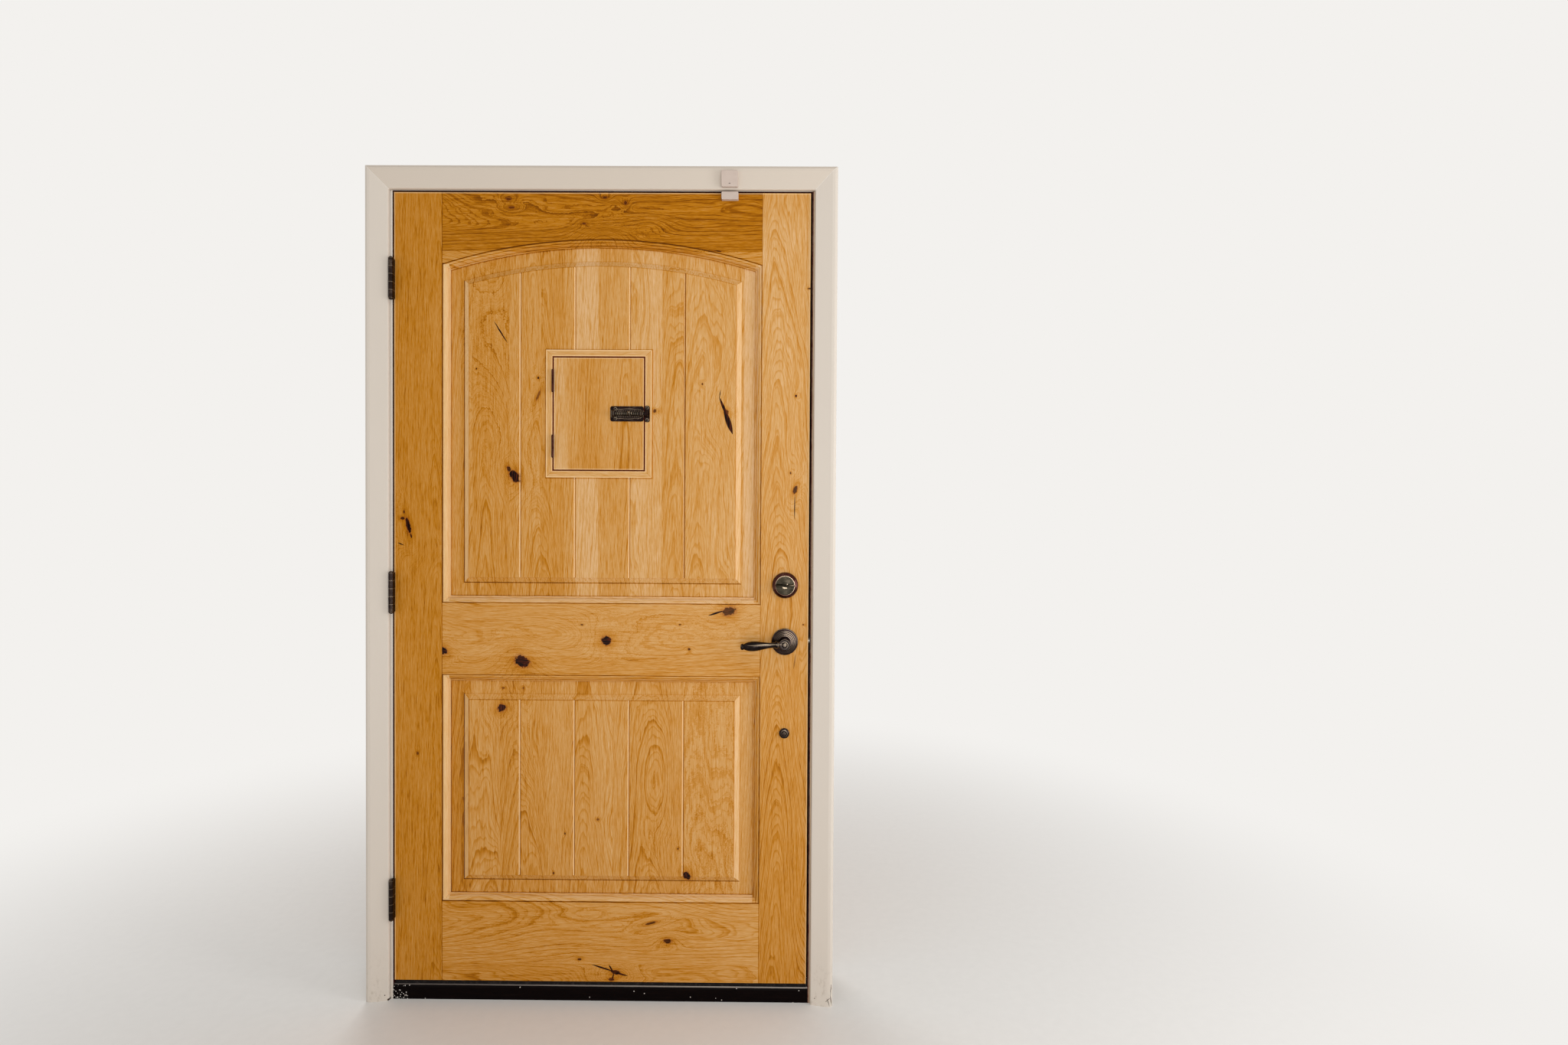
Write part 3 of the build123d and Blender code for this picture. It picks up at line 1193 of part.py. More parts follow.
def build():
    """Every node of the door by name."""
    nodes = {}
    openings = panel_openings()
    lower, upper = openings
    hinge_stile, latch_stile, rails = slab_members(openings)
    hinge_jamb = side_jamb()
    latch_jamb = mirrored(hinge_jamb)

    pins = []
    for name, rise in HINGE_RISES.items():
        low = SLAB_LIFT + rise - DOOR_HINGE.height / 2
        carrier, hung, pin, jamb_mortise, stile_mortise = butt_hinge(
            DOOR_HINGE, -RABBET_X, -HALF_SLAB, FRONT, low
        )
        nodes[f"{name}_hinge_jamb_leaf"] = carrier
        nodes[f"{name}_hinge_door_leaf"] = hung
        pins.append(pin)
        hinge_jamb -= jamb_mortise
        hinge_stile -= stile_mortise
    nodes["hinge_pins"] = Compound(pins)

    latch_jamb -= strike_mortise(LEVER_Z, LATCH_RADIUS, True, LATCH_POCKET)
    latch_jamb -= strike_mortise(DEADBOLT_Z, DEADBOLT_RADIUS, False, JAMB_LEG + OVERCUT)
    nodes["hinge_jamb"] = hinge_jamb
    nodes["latch_jamb"] = latch_jamb
    nodes["head_jamb"] = head_jamb()
    nodes["door_stops"] = stop_strips()
    nodes["latch_strike"] = strike(LEVER_Z, LATCH_RADIUS, True)
    nodes["deadbolt_strike"] = strike(DEADBOLT_Z, DEADBOLT_RADIUS, False)

    casing = mitred_surround(casing_section(), CASING_WIDTH, CASING_X, CASING_Z, FRONT, -1)
    mould = mitred_surround(mould_section(), MOULD_WIDTH, RABBET_X, RABBET_Z, OUTSIDE, 1)
    for side, piece in zip(("left", "right", "head"), casing):
        nodes[f"casing_{side}"] = piece
    for side, piece in zip(("left", "right", "head"), mould):
        nodes[f"brickmould_{side}"] = piece
    for side, piece in zip(("left", "right", "head"), seals()):
        nodes[f"weatherstrip_{side}"] = piece
    nodes["sill"] = sill()
    nodes["sill_cap"] = sill_cap()
    nodes["sensor_body"] = sensor_body()

    for height in (LEVER_Z, DEADBOLT_Z):
        latch_stile -= lock_bores(height)
    latch_stile -= through_stile(BOLT_HOLE_RADIUS, GRIP_FOOT_Z)
    nodes["hinge_stile"] = hinge_stile
    nodes["latch_stile"] = latch_stile
    for name, rail in zip(("bottom_rail", "lock_rail", "top_rail"), rails):
        nodes[name] = rail
    nodes["lower_panel"] = raised_panel(lower)
    hatch_hole = block(HATCH_LEFT, HATCH_RIGHT, FRONT, BACK, HATCH_LOW, HATCH_HIGH)
    nodes["upper_panel"] = raised_panel(upper) - hatch_hole
    nodes["door_sweep"] = sweep_strip()
    nodes["sensor_magnet"] = sensor_magnet()

    strips = hatch_frame()
    door = hatch_door()
    frame_leaves = []
    door_leaves = []
    pins = []
    for side in (-1, 1):
        low = HATCH_Z + side * HATCH_HINGE_RISE - HATCH_HINGE.height / 2
        edge = HATCH_LEFT + HATCH_BORDER
        carrier, hung, pin, frame_mortise, door_mortise = butt_hinge(
            HATCH_HINGE, edge, edge + HATCH_GAP, HATCH_FRONT, low
        )
        frame_leaves.append(carrier)
        door_leaves.append(hung)
        pins.append(pin)
        strips[-1] -= frame_mortise
        door -= door_mortise
    nodes["hatch_frame"] = Compound(strips)
    nodes["hatch_door"] = door
    nodes["hatch_hinge_frame_leaves"] = Compound(frame_leaves)
    nodes["hatch_hinge_door_leaves"] = Compound(door_leaves)
    nodes["hatch_hinge_pins"] = Compound(pins)
    nodes["hatch_grille"] = grille()
    nodes["hatch_bolt_plate"] = bolt_plate()
    nodes["hatch_bolt_keeper"] = keeper()
    nodes["hatch_bolt"] = hatch_bolt()

    spindle_hole = SPINDLE_SIDE / sqrt(2) + TURN_FIT
    tail_hole = TAILPIECE_WIDTH / 2 + 2 * TURN_FIT
    nodes["latch_case"] = lock_case(LEVER_Z, LATCH_RADIUS, spindle_hole)
    nodes["latch_bolt"] = latch_bolt()
    nodes["lever_rose"] = lever_rose()
    nodes["lever_handle"] = lever_handle()
    nodes["lever_spindle"] = lever_spindle()
    nodes["deadbolt_case"] = lock_case(DEADBOLT_Z, DEADBOLT_RADIUS, tail_hole)
    nodes["deadbolt"] = deadbolt()
    nodes["deadbolt_rose"] = deadbolt_rose()
    nodes["thumbturn"] = thumbturn()
    nodes["deadbolt_tailpiece"] = tailpiece()
    nodes["deadbolt_cylinder"] = deadbolt_cylinder()
    nodes["key_plug"] = key_plug()
    nodes["outside_grip"] = outside_grip()
    nodes["grip_bolt"] = grip_bolt()
    nodes["grip_bolt_cover"] = bolt_cover()
    nodes["thumb_latch"] = thumb_latch()
    return nodes


os.makedirs("parts", exist_ok=True)
for node_name, shape in build().items():
    export_step(shape, f"parts/{node_name}.step")
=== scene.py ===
# %% [markdown]
# A knotty alder front door, dressed in Blender.
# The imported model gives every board, jamb, hinge and lock piece in its true place. It could be
# modelled again here, but then two files would have to agree on each size. So this lesson keeps
# the solids and gives them what a solid can't carry: grain, knots, paint, worn bronze, screws.

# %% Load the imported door
import math

import bpy
import numpy as np
from mathutils import Matrix, Vector


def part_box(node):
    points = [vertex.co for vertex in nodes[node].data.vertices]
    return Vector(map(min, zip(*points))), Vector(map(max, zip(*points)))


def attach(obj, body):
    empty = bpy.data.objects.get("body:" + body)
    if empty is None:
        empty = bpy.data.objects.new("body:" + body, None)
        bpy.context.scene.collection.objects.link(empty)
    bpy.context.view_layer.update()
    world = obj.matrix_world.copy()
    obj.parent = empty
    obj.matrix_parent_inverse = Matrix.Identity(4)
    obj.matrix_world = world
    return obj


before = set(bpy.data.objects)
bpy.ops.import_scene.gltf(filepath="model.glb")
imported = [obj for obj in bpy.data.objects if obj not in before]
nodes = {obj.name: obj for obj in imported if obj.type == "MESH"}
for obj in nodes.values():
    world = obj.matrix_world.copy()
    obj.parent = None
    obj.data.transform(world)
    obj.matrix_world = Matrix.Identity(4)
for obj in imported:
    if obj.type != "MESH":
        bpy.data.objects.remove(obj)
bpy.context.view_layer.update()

# %% [markdown]
# The camera stands where the photographer stood: about two metres from the slab, a little above
# its middle and nearly in front of the lock. A camera helper could aim at the door for us, but
# the picture is also tilted a third of a degree, so the three turns are given one by one. The
# lens is wide, 17.8 mm on a 36 mm film, which is why the casing's inner side shows at the left.

# %% Camera
FILM = 0.036
LENS = 0.017824
STANDS_AT = Vector((0.4823, -2.0494, 1.2699))
TURN, TILT, LEAN = (math.radians(a) for a in (-0.371, -0.794, 0.352))

ahead = Vector((math.sin(TURN) * math.cos(TILT), math.cos(TURN) * math.cos(TILT), math.sin(TILT)))
level = ahead.cross(Vector((0, 0, 1))).normalized()
upright = level.cross(ahead)
right = level * math.cos(LEAN) + upright * math.sin(LEAN)
above = upright * math.cos(LEAN) - level * math.sin(LEAN)

camera_data = bpy.data.cameras.new("camera")
camera_data.sensor_fit = "HORIZONTAL"
camera_data.sensor_width = FILM * 1000
camera_data.lens = LENS * 1000
camera_data.clip_start = 0.02
camera = bpy.data.objects.new("camera", camera_data)
bpy.context.scene.collection.objects.link(camera)
camera.matrix_world = Matrix((right, above, -ahead)).transposed().to_4x4()
camera.matrix_world.translation = STANDS_AT
bpy.context.scene.camera = camera
print("camera", round(camera_data.lens, 2), "mm, at", tuple(STANDS_AT))

# %% [markdown]
# Shader maths. A pattern such as wood is a formula over the surface, and Blender writes formulas
# as nodes. Wiring them by hand hides the formula, so a small class wraps a socket and lets
# Python's own signs add the Math nodes: 1 - knot, rings * 0.3 and so on. Colours and vectors
# don't go through it, because a Math node would turn them grey. Every other node comes from one
# method that takes its type, its settings and then its values or links.

# %% Fields
def put(tree, slot, value):
    """Links a field, or writes a plain number or colour into the socket."""
    if isinstance(value, Field):
        tree.links.new(value.socket, slot)
    else:
        slot.default_value = value


def sum_up(tree, operation, *values, clamp=False):
    """One Math node on numbers or fields."""
    made = tree.nodes.new("ShaderNodeMath")
    made.operation = operation
    made.use_clamp = clamp
    for slot, value in zip(made.inputs, values):
        put(tree, slot, value)
    return Field(tree, made.outputs[0])


def sign(operation, turned=False):
    """What Python does at one of its signs: a Math node, with the two sides turned round if the
    number stands before the field."""
    def apply(field, other):
        sides = (other, field) if turned else (field, other)
        return sum_up(field.tree, operation, *sides)
    return apply


class Field:
    """A value that changes over a surface. Arithmetic on it adds Math nodes."""

    __add__ = __radd__ = sign("ADD")
    __mul__ = __rmul__ = sign("MULTIPLY")
    __sub__, __rsub__ = sign("SUBTRACT"), sign("SUBTRACT", turned=True)
    __truediv__, __rtruediv__ = sign("DIVIDE"), sign("DIVIDE", turned=True)

    def __init__(self, tree, socket):
        self.tree = tree
        self.socket = socket

    def __abs__(self):
        return sum_up(self.tree, "ABSOLUTE", self)

    def do(self, operation, *others, clamp=False):
        """Any other operation of the Math node, by its name."""
        return sum_up(self.tree, operation, self, *others, clamp=clamp)

    def rise(self, low, high):
        """0 below low, 1 above high and a smooth S between."""
        made = self.tree.nodes.new("ShaderNodeMapRange")
        made.interpolation_type = "SMOOTHSTEP"
        put(self.tree, made.inputs["Value"], self)
        made.inputs["From Min"].default_value = low
        made.inputs["From Max"].default_value = high
        return Field(self.tree, made.outputs["Result"])

    def fall(self, low, high):
        """1 below low, 0 above high and a smooth S between."""
        made = self.rise(low, high).socket.node
        made.inputs["To Min"].default_value = 1.0
        made.inputs["To Max"].default_value = 0.0
        return Field(self.tree, made.outputs["Result"])


def length(*sides):
    """How long a line is, from its parts along each way: the root of the sum of their squares."""
    total = sides[0] * sides[0]
    for side in sides[1:]:
        total = total + side * side
    return total.do("SQRT")


def larger(mask, other):
    """The larger of two masks, or the second one while there is no first."""
    return other if mask is None else mask.do("MAXIMUM", other)


print("fields ready")

# %% Finishes
class Finish:
    """One material: its node tree, its Principled shader and the place on the surface in metres."""

    def __init__(self, name):
        self.material = bpy.data.materials.new(name)
        self.material.use_nodes = True
        self.tree = self.material.node_tree
        self.tree.nodes.clear()
        self.shader = self.tree.nodes.new("ShaderNodeBsdfPrincipled")
        self.out = self.tree.nodes.new("ShaderNodeOutputMaterial")
        self.tree.links.new(self.shader.outputs[0], self.out.inputs["Surface"])
        self.place = self.node("TexCoord", out="Object")
        self.x, self.y, self.z = (
            self.node("SeparateXYZ", values={0: self.place}, out=i) for i in range(3))

    def node(self, kind, settings=None, values=None, out=0):
        """A node by type: settings first, a ramp's stops among them, then values or links."""
        made = self.tree.nodes.new("ShaderNode" + kind)
        for name, value in (settings or {}).items():
            if name == "stops":
                ramp = made.color_ramp
                while len(ramp.elements) < len(value):
                    ramp.elements.new(0.5)
                for element, (position, colour) in zip(ramp.elements, value):
                    element.position = position
                    element.color = colour
            elif name == "steps":
                made.color_ramp.interpolation = value
            else:
                setattr(made, name, value)
        for name, value in (values or {}).items():
            put(self.tree, made.inputs[name], value)
        return Field(self.tree, made.outputs[out])

    def set(self, **values):
        """Writes or links the shader's own sockets, named with underscores for spaces."""
        for name, value in values.items():
            put(self.tree, self.shader.inputs[name.replace("_", " ")], value)

    def noise(self, *ways, scale=1.0, detail=2.0, rough=0.5):
        """Cloudy noise, 0 to 1, about 0.5 on average, over three fields or else the place."""
        vector = self.node("CombineXYZ", values=dict(enumerate(ways))) if ways else self.place
        values = {"Vector": vector, "Scale": scale, "Detail": detail, "Roughness": rough}
        return self.node("TexNoise", values=values)

    def mix(self, amount, low, high):
        """A colour between low and high by amount."""
        return self.node("Mix", {"data_type": "RGBA"}, {0: amount, 6: low, 7: high}, out=2)

    def bump(self, height, depth=0.001, strength=1.0):
        """Relief of height times depth metres, on the shader's Normal."""
        values = {"Strength": strength, "Distance": depth, "Height": height}
        self.set(Normal=self.node("Bump", values=values))


def dress(finish, *names):
    """Puts one finish on CAD nodes, through their material slots."""
    for name in names:
        data = nodes[name].data
        data.materials.clear()
        data.materials.append(finish.material)


print("finishes ready")

# %% [markdown]
# Light. In the hall the light comes from a window behind the camera's right shoulder and from
# pale walls all round. A single strong lamp would give hard shadows under the mouldings, so big
# soft panels stand in front, at the right and overhead, one more lights the outside, and the
# world fills in the rest. Camera and mirror rays see a paler world than the one that lights the
# door, which keeps the background light and the boards at the colours they are given.

# %% World and lamps
def screen(red, green, blue):
    """A colour given on a screen, 0 to 255, as the linear numbers that shaders use: each
    channel over 255, then (c + 0.055) / 1.055 to the power 2.4, or c / 12.92 near black."""
    channels = (c / 255 for c in (red, green, blue))
    linear = (c / 12.92 if c < 0.04045 else ((c + 0.055) / 1.055) ** 2.4 for c in channels)
    return tuple(linear) + (1.0,)


SKY = screen(243, 241, 238)
DAYLIGHT = (1.0, 0.985, 0.965, 1.0)
FILL = 0.50

world = bpy.data.worlds.new("studio")
bpy.context.scene.world = world
world.use_nodes = True
sky = world.node_tree
sky.nodes.clear()
rays = sky.nodes.new("ShaderNodeLightPath")
seen, mirrored, through = (Field(sky, rays.outputs[f"Is {kind} Ray"])
                           for kind in ("Camera", "Glossy", "Transmission"))
choose = sky.nodes.new("ShaderNodeMixShader")
put(sky, choose.inputs["Fac"], seen.do("ADD", mirrored, clamp=True).do("ADD", through, clamp=True))
for slot, colour, strength in ((1, DAYLIGHT, FILL), (2, SKY, 1.0)):
    background = sky.nodes.new("ShaderNodeBackground")
    background.inputs["Color"].default_value = colour
    background.inputs["Strength"].default_value = strength
    sky.links.new(background.outputs[0], choose.inputs[slot])
world_out = sky.nodes.new("ShaderNodeOutputWorld")
sky.links.new(choose.outputs[0], world_out.inputs["Surface"])


def panel_lamp(name, place, aim, width, height, power):
    """A flat soft lamp of width by height metres at place, turned to face aim."""
    data = bpy.data.lights.new(name, "AREA")
    data.shape = "RECTANGLE"
    data.size = width
    data.size_y = height
    data.energy = power
    lamp = bpy.data.objects.new(name, data)
    bpy.context.scene.collection.objects.link(lamp)
    lamp.location = place
    lamp.rotation_euler = (Vector(aim) - Vector(place)).to_track_quat("-Z", "Y").to_euler()


panel_lamp("window_lamp", (0.9, -3.0, 0.95), (0, 0, 0.80), 1.0, 1.4, power=22)
panel_lamp("side_lamp", (2.7, -1.1, 1.3), (0, 0, 0.9), 0.8, 1.4, power=23)
panel_lamp("ceiling_lamp", (1.4, -2.4, 3.9), (0, 0, 0.95), 1.2, 1.2, power=14)
panel_lamp("porch_lamp", (-1.5, 3.2, 2.6), (0, 0, 1.1), 2.2, 2.2, power=50)
print("fill", FILL, "and four panel lamps")

# %% [markdown]
# Knotty alder. A trunk grows a cone of new wood each year, so in a board the yearly lines are
# slices through nested cones: straight lines where the slice is far from the heart, and pointed
# arches, called cathedrals, where it is near. Image textures of wood repeat and stop at edges.
# Here the distance from the heart is worked out in the board's own depth, width and length, so
# the figure runs round every edge and moulding as it does in solid wood. The door is glued up
# from strips, so each finish holds a list of strips, with a tone and a heart of their own.

# %% The tones of the finish
# From the darkest varnished rail to the palest strip.
TONES = [
    (0.00, screen(104, 56, 10)),
    (0.22, screen(152, 88, 8)),
    (0.40, screen(184, 117, 20)),
    (0.62, screen(200, 141, 66)),
    (0.80, screen(209, 160, 98)),
    (1.00, screen(222, 181, 134)),
]


def strip_values(finish, across, strips, high):
    """Each strip's tone, seed and middle, from a ramp that changes in steps at the strips'
    edges. Positions are in metres, from the first strip's edge to high, and are scaled to the
    ramp's 0 to 1."""
    low = strips[0][0]
    reach = high - low
    starts = [(s[0] - low) / reach for s in strips]
    ends = starts[1:] + [1.0]
    stops = []
    for start, end, (_, tone, seed) in zip(starts, ends, strips):
        stops.append((start, (tone, seed, (start + end) / 2, 1.0)))
    spot = (across - low) / reach
    colour = finish.node("ValToRGB", {"steps": "CONSTANT", "stops": stops}, {0: spot})
    tone, seed, middle = (finish.node("SeparateColor", values={0: colour}, out=i) for i in range(3))
    return tone, seed, middle * reach + low


print(len(TONES), "tones")

# %% [markdown]
# Mouldings catch shade in their corners, so a thin dark line of painted shade, with some varnish
# pooled in it, follows every one of them. An occlusion pass baked from the mesh would catch them
# too, but it depends on how the mesh is cut. The openings are known, so the distance from an
# opening's edge is a formula, and each line sits at its own distance: the quirk 17 mm out, the
# ledge at the edge, the raised field 49 mm in.

# %% Distance from the panel openings
EDGE_X = 0.393
LOWER_EDGE = (0.2737, 0.8281)
UPPER_EDGE = 1.0475
ARCH_MIDDLE = 0.6076
ARCH_RADIUS = 1.3384
GROOVES = (-0.2115, -0.0705, 0.0705, 0.2115)
BAND_SOFT = 0.0006
HATCH_MIDDLE = (-0.0080, 1.5185)
HATCH_OUTSIDE = (0.13625, 0.1640)
HATCH_GAP = (0.1175, 0.1453)


class Edges:
    """Distances past an opening's edges, positive on the frame and negative on the panel. side
    is past either upright edge, below past the lower one, above past the upper one, and out is
    the largest of the three, which is the distance from the opening itself."""

    def __init__(self, wood, low, above):
        self.side = abs(wood.x) - EDGE_X
        self.below = low - wood.z
        self.above = above
        self.out = larger(larger(self.side, self.below), above)

    def band(self, low, high):
        """1 between two distances, with soft ends."""
        starts = self.out.rise(low - BAND_SOFT, low + BAND_SOFT)
        return starts * self.out.fall(high - BAND_SOFT, high + BAND_SOFT)


def lower_edges(wood):
    """The square opening: its upper edge is level."""
    return Edges(wood, LOWER_EDGE[0], wood.z - LOWER_EDGE[1])


def upper_edges(wood):
    """The arched opening: the distance from the arch's middle, less its radius, is the distance
    past the upper edge."""
    rise = wood.z - ARCH_MIDDLE
    return Edges(wood, UPPER_EDGE, length(wood.x, rise) - ARCH_RADIUS)


def past_hatch(wood, half):
    """How far a point is past the sides, and past the ends, of a rectangle about the hatch."""
    return abs(wood.x - HATCH_MIDDLE[0]) - half[0], abs(wood.z - HATCH_MIDDLE[1]) - half[1]


def line_at(distance, place, half_width, core=0.35):
    """1 on a line at a distance, as far as its core, and fading to 0 over its half width."""
    return abs(distance - place).fall(half_width * core, half_width)


print("openings: edges at x", EDGE_X, "and an arch of radius", ARCH_RADIUS)

# %% [markdown]
# The marks along those edges are painted shade and painted highlights, of two kinds. On stiles and
# rails they follow the moulding, and on the panels the raised field and the grooves. Each function
# below is given what differs from board to board and hands back another function, which a finish
# calls with its own place.

# %% Lines along the edges
MOULDING = (-0.0004, 0.0152)
QUIRK, CREASE, FILLET = 0.0165, 0.0096, 0.0030
JOINT_X = 0.4100
CORNER_X, CORNER_Z = 0.5318, 2.0802
LOCK_RAIL_MIDDLE = (0.930, 0.945)
SLOPE_FOOT, FIELD_EDGE = -0.0347, -0.0494


def frame_lines(under, over, glow=0.0):
    """Painted shade and painted highlights on a stile or rail, as a darkening and a lightening.
    Dark lines of painted crease shade, with some varnish pooled in them, run at the quirk and down
    the moulding's middle. The moulding itself gets painted shade by under below the lock rail's
    middle and by over above it, and painted light where these are negative, and glow paints more
    light on it where it faces the window. The joint between stile and rail is a dark line too, a
    painted highlight follows the slab's outer arris, and the slab's very edge is darkened as
    painted shade of the gap."""
    def lines(wood):
        lower, upper = lower_edges(wood), upper_edges(wood)
        nearest = lower.out.do("MINIMUM", upper.out)
        high = wood.z.rise(*LOCK_RAIL_MIDDLE)
        moulding = larger(lower.band(*MOULDING), upper.band(*MOULDING))
        crease_under, crease_over = (0.30 if shade > -0.15 else 0.04 for shade in (under, over))
        crease = high * (crease_over - crease_under) + crease_under
        dark = moulding * (high * (over - under) + under) + line_at(nearest, QUIRK, 0.0018) * 0.44
        for place, half_width in ((CREASE, 0.0015), (FILLET, 0.0013)):
            dark = dark + line_at(nearest, place, half_width) * crease
        joint = line_at(abs(wood.x), JOINT_X, 0.0012) * nearest.rise(0.016, 0.018)
        dark = dark + joint * 0.34
        room = wood.y.fall(-0.0560, -0.0550)
        arris_highlight = larger(line_at(abs(wood.x), CORNER_X, 0.0017), line_at(wood.z, CORNER_Z, 0.0017))
        rim = larger(abs(wood.x).rise(0.5330, 0.5334), wood.z.rise(2.0815, 2.0819))
        light = moulding * glow + arris_highlight * room * 0.42
        return dark + rim * 0.55, light
    return lines


def field_lines(edges, deep=(), surround=False):
    """Painted shade and painted highlights on a panel, as a darkening and a lightening. A line of
    painted shade follows the foot of the slope round the raised field, firm at the left and the
    lower side, where the slope turns from the window; the field's step throws a painted shadow on
    the left flat, and thin lines of painted shade run at the field's edge and at the opening's
    edge. At the right and above, the slope itself is painted light. The bevel's upper and lower
    ends are end grain, so they are mottled. Each groove is a painted highlight line with a painted
    shade line to its right, darker for the grooves listed in deep. surround adds the painted shadow
    of the hatch frame."""
    def lines(wood):
        opening = edges(wood)
        upright = opening.side.do("GREATER_THAN", larger(opening.below, opening.above))
        foot = opening.below.do("GREATER_THAN", larger(opening.side, opening.above))
        head = 1 - upright - foot
        left = wood.x.fall(-0.01, 0.01)
        slope = opening.band(-0.0480, -0.0356)
        turned = foot * 0.50 + upright * left * 0.36 + 0.10
        dark = line_at(opening.out, SLOPE_FOOT, 0.0018) * turned
        dark = dark + line_at(opening.out, FIELD_EDGE, 0.0015) * (head * 0.24 + upright * 0.16)
        flat = opening.out.fall(-0.0350, -0.0200) * opening.band(-0.0350, -0.0180)
        dark = dark + flat * upright * left * 0.16 + line_at(opening.out, -0.0008, 0.0015) * 0.30
        dark = dark - slope * (upright * 0.18 + head * 0.02)
        mottle = wood.noise(wood.x * 150.0, wood.y * 40.0, wood.z * 34.0, detail=4.0, rough=0.65)
        dark = dark + opening.band(-0.0340, 0.0020) * (1 - upright) * (mottle - 0.46) * 0.55
        light = slope * upright * (left * 0.10 + 0.15)
        field = opening.out.fall(-0.0496, -0.0490)
        for groove in GROOVES:
            shade, shine = (0.60, 0.30) if groove in deep else (0.42, 0.78)
            gap = wood.x - groove
            shadow = line_at(gap, 0.0021, 0.0016) * shade + line_at(gap, -0.0032, 0.0012) * 0.10
            dark = dark + field * shadow
            light = light + field * line_at(gap, -0.0009, 0.0019) * shine
        if surround:
            side, up = past_hatch(wood, HATCH_OUTSIDE)
            dark = dark + line_at(larger(side, up), 0.0012, 0.0018) * 0.34
        return dark, light
    return lines


print("lines for frame and panels ready")

# %% [markdown]
# Knots and cracks. A knot is a branch cut through: a dark ragged core, a darker halo, and yearly
# lines that part to flow round it. Painting them by hand would be quicker for one picture, but
# the boards would slide under them on another door, so each is a place, two radii and a turn in
# the board's own metres. A crack is a line between two points that is widest in its middle.

# %% Knots and cracks as fields
def knot_distance(across, along, knot, ragged):
    """How far a point is from a knot, in knot radii: the point is moved to the knot, turned,
    divided by the two radii, and its length taken. ragged shakes the outline."""
    place_across, place_along, radius_across, radius_along, turn = knot
    side = across - place_across
    up = along - place_along
    if turn:
        c, s = math.cos(math.radians(turn)), math.sin(math.radians(turn))
        side, up = side * c + up * s, up * c - side * s
    side, up = side / radius_across, up / radius_along
    return length(side, up) + ragged


def crack_mask(across, along, crack, wobble):
    """1 inside a crack. The nearest point on the line is found by projecting on it, and the
    width there is the crack's own times 4 t (1 - t), with t running 0 to 1 along it."""
    (a0, b0), (a1, b1), width = crack
    da, db = a1 - a0, b1 - b0
    side, up = across - a0, along - b0
    t = ((side * da + up * db) / (da * da + db * db)).do("ADD", 0.0, clamp=True)
    gap = length(side - t * da + wobble, up - t * db)
    room = (t * (1.0 - t)) * (4.0 * width) + 0.0002
    return (gap / room).fall(0.75, 1.15)


def board_marks(across, along, knots, eyes, cracks, ragged, quick):
    """What knots, eyes and cracks do to a board: the pull on its rings, and the masks of the
    burnt core, of the rust round it and of the halo. A board without knots has no masks."""
    pulls, core, rust, halo = 0.0, None, None, None
    for mark in tuple(knots) + tuple(eyes):
        *shape, dark = mark
        roughly = ragged * min(1.0, 0.35 + abs(dark) * 0.5)
        distance = knot_distance(across, along, shape, roughly)
        pull = (distance * distance * -0.085).do("EXPONENT")
        if mark in eyes:
            pulls = pull * dark + pulls
            continue
        pulls = pull * min(0.05, max(shape[2], shape[3]) * 2.2) + pulls
        core = larger(core, distance.fall(0.80, 1.02) * dark)
        rust = larger(rust, distance.fall(1.0, 1.42))
        halo = larger(halo, distance.fall(1.3, 3.2))
    for start, end, half_width, *strength in cracks:
        spot = crack_mask(across, along, (start, end, half_width), (quick - 0.5) * 0.006)
        core = larger(core, spot * strength[0] if strength else spot)
    return pulls, core, rust, halo


print("knots and cracks ready")
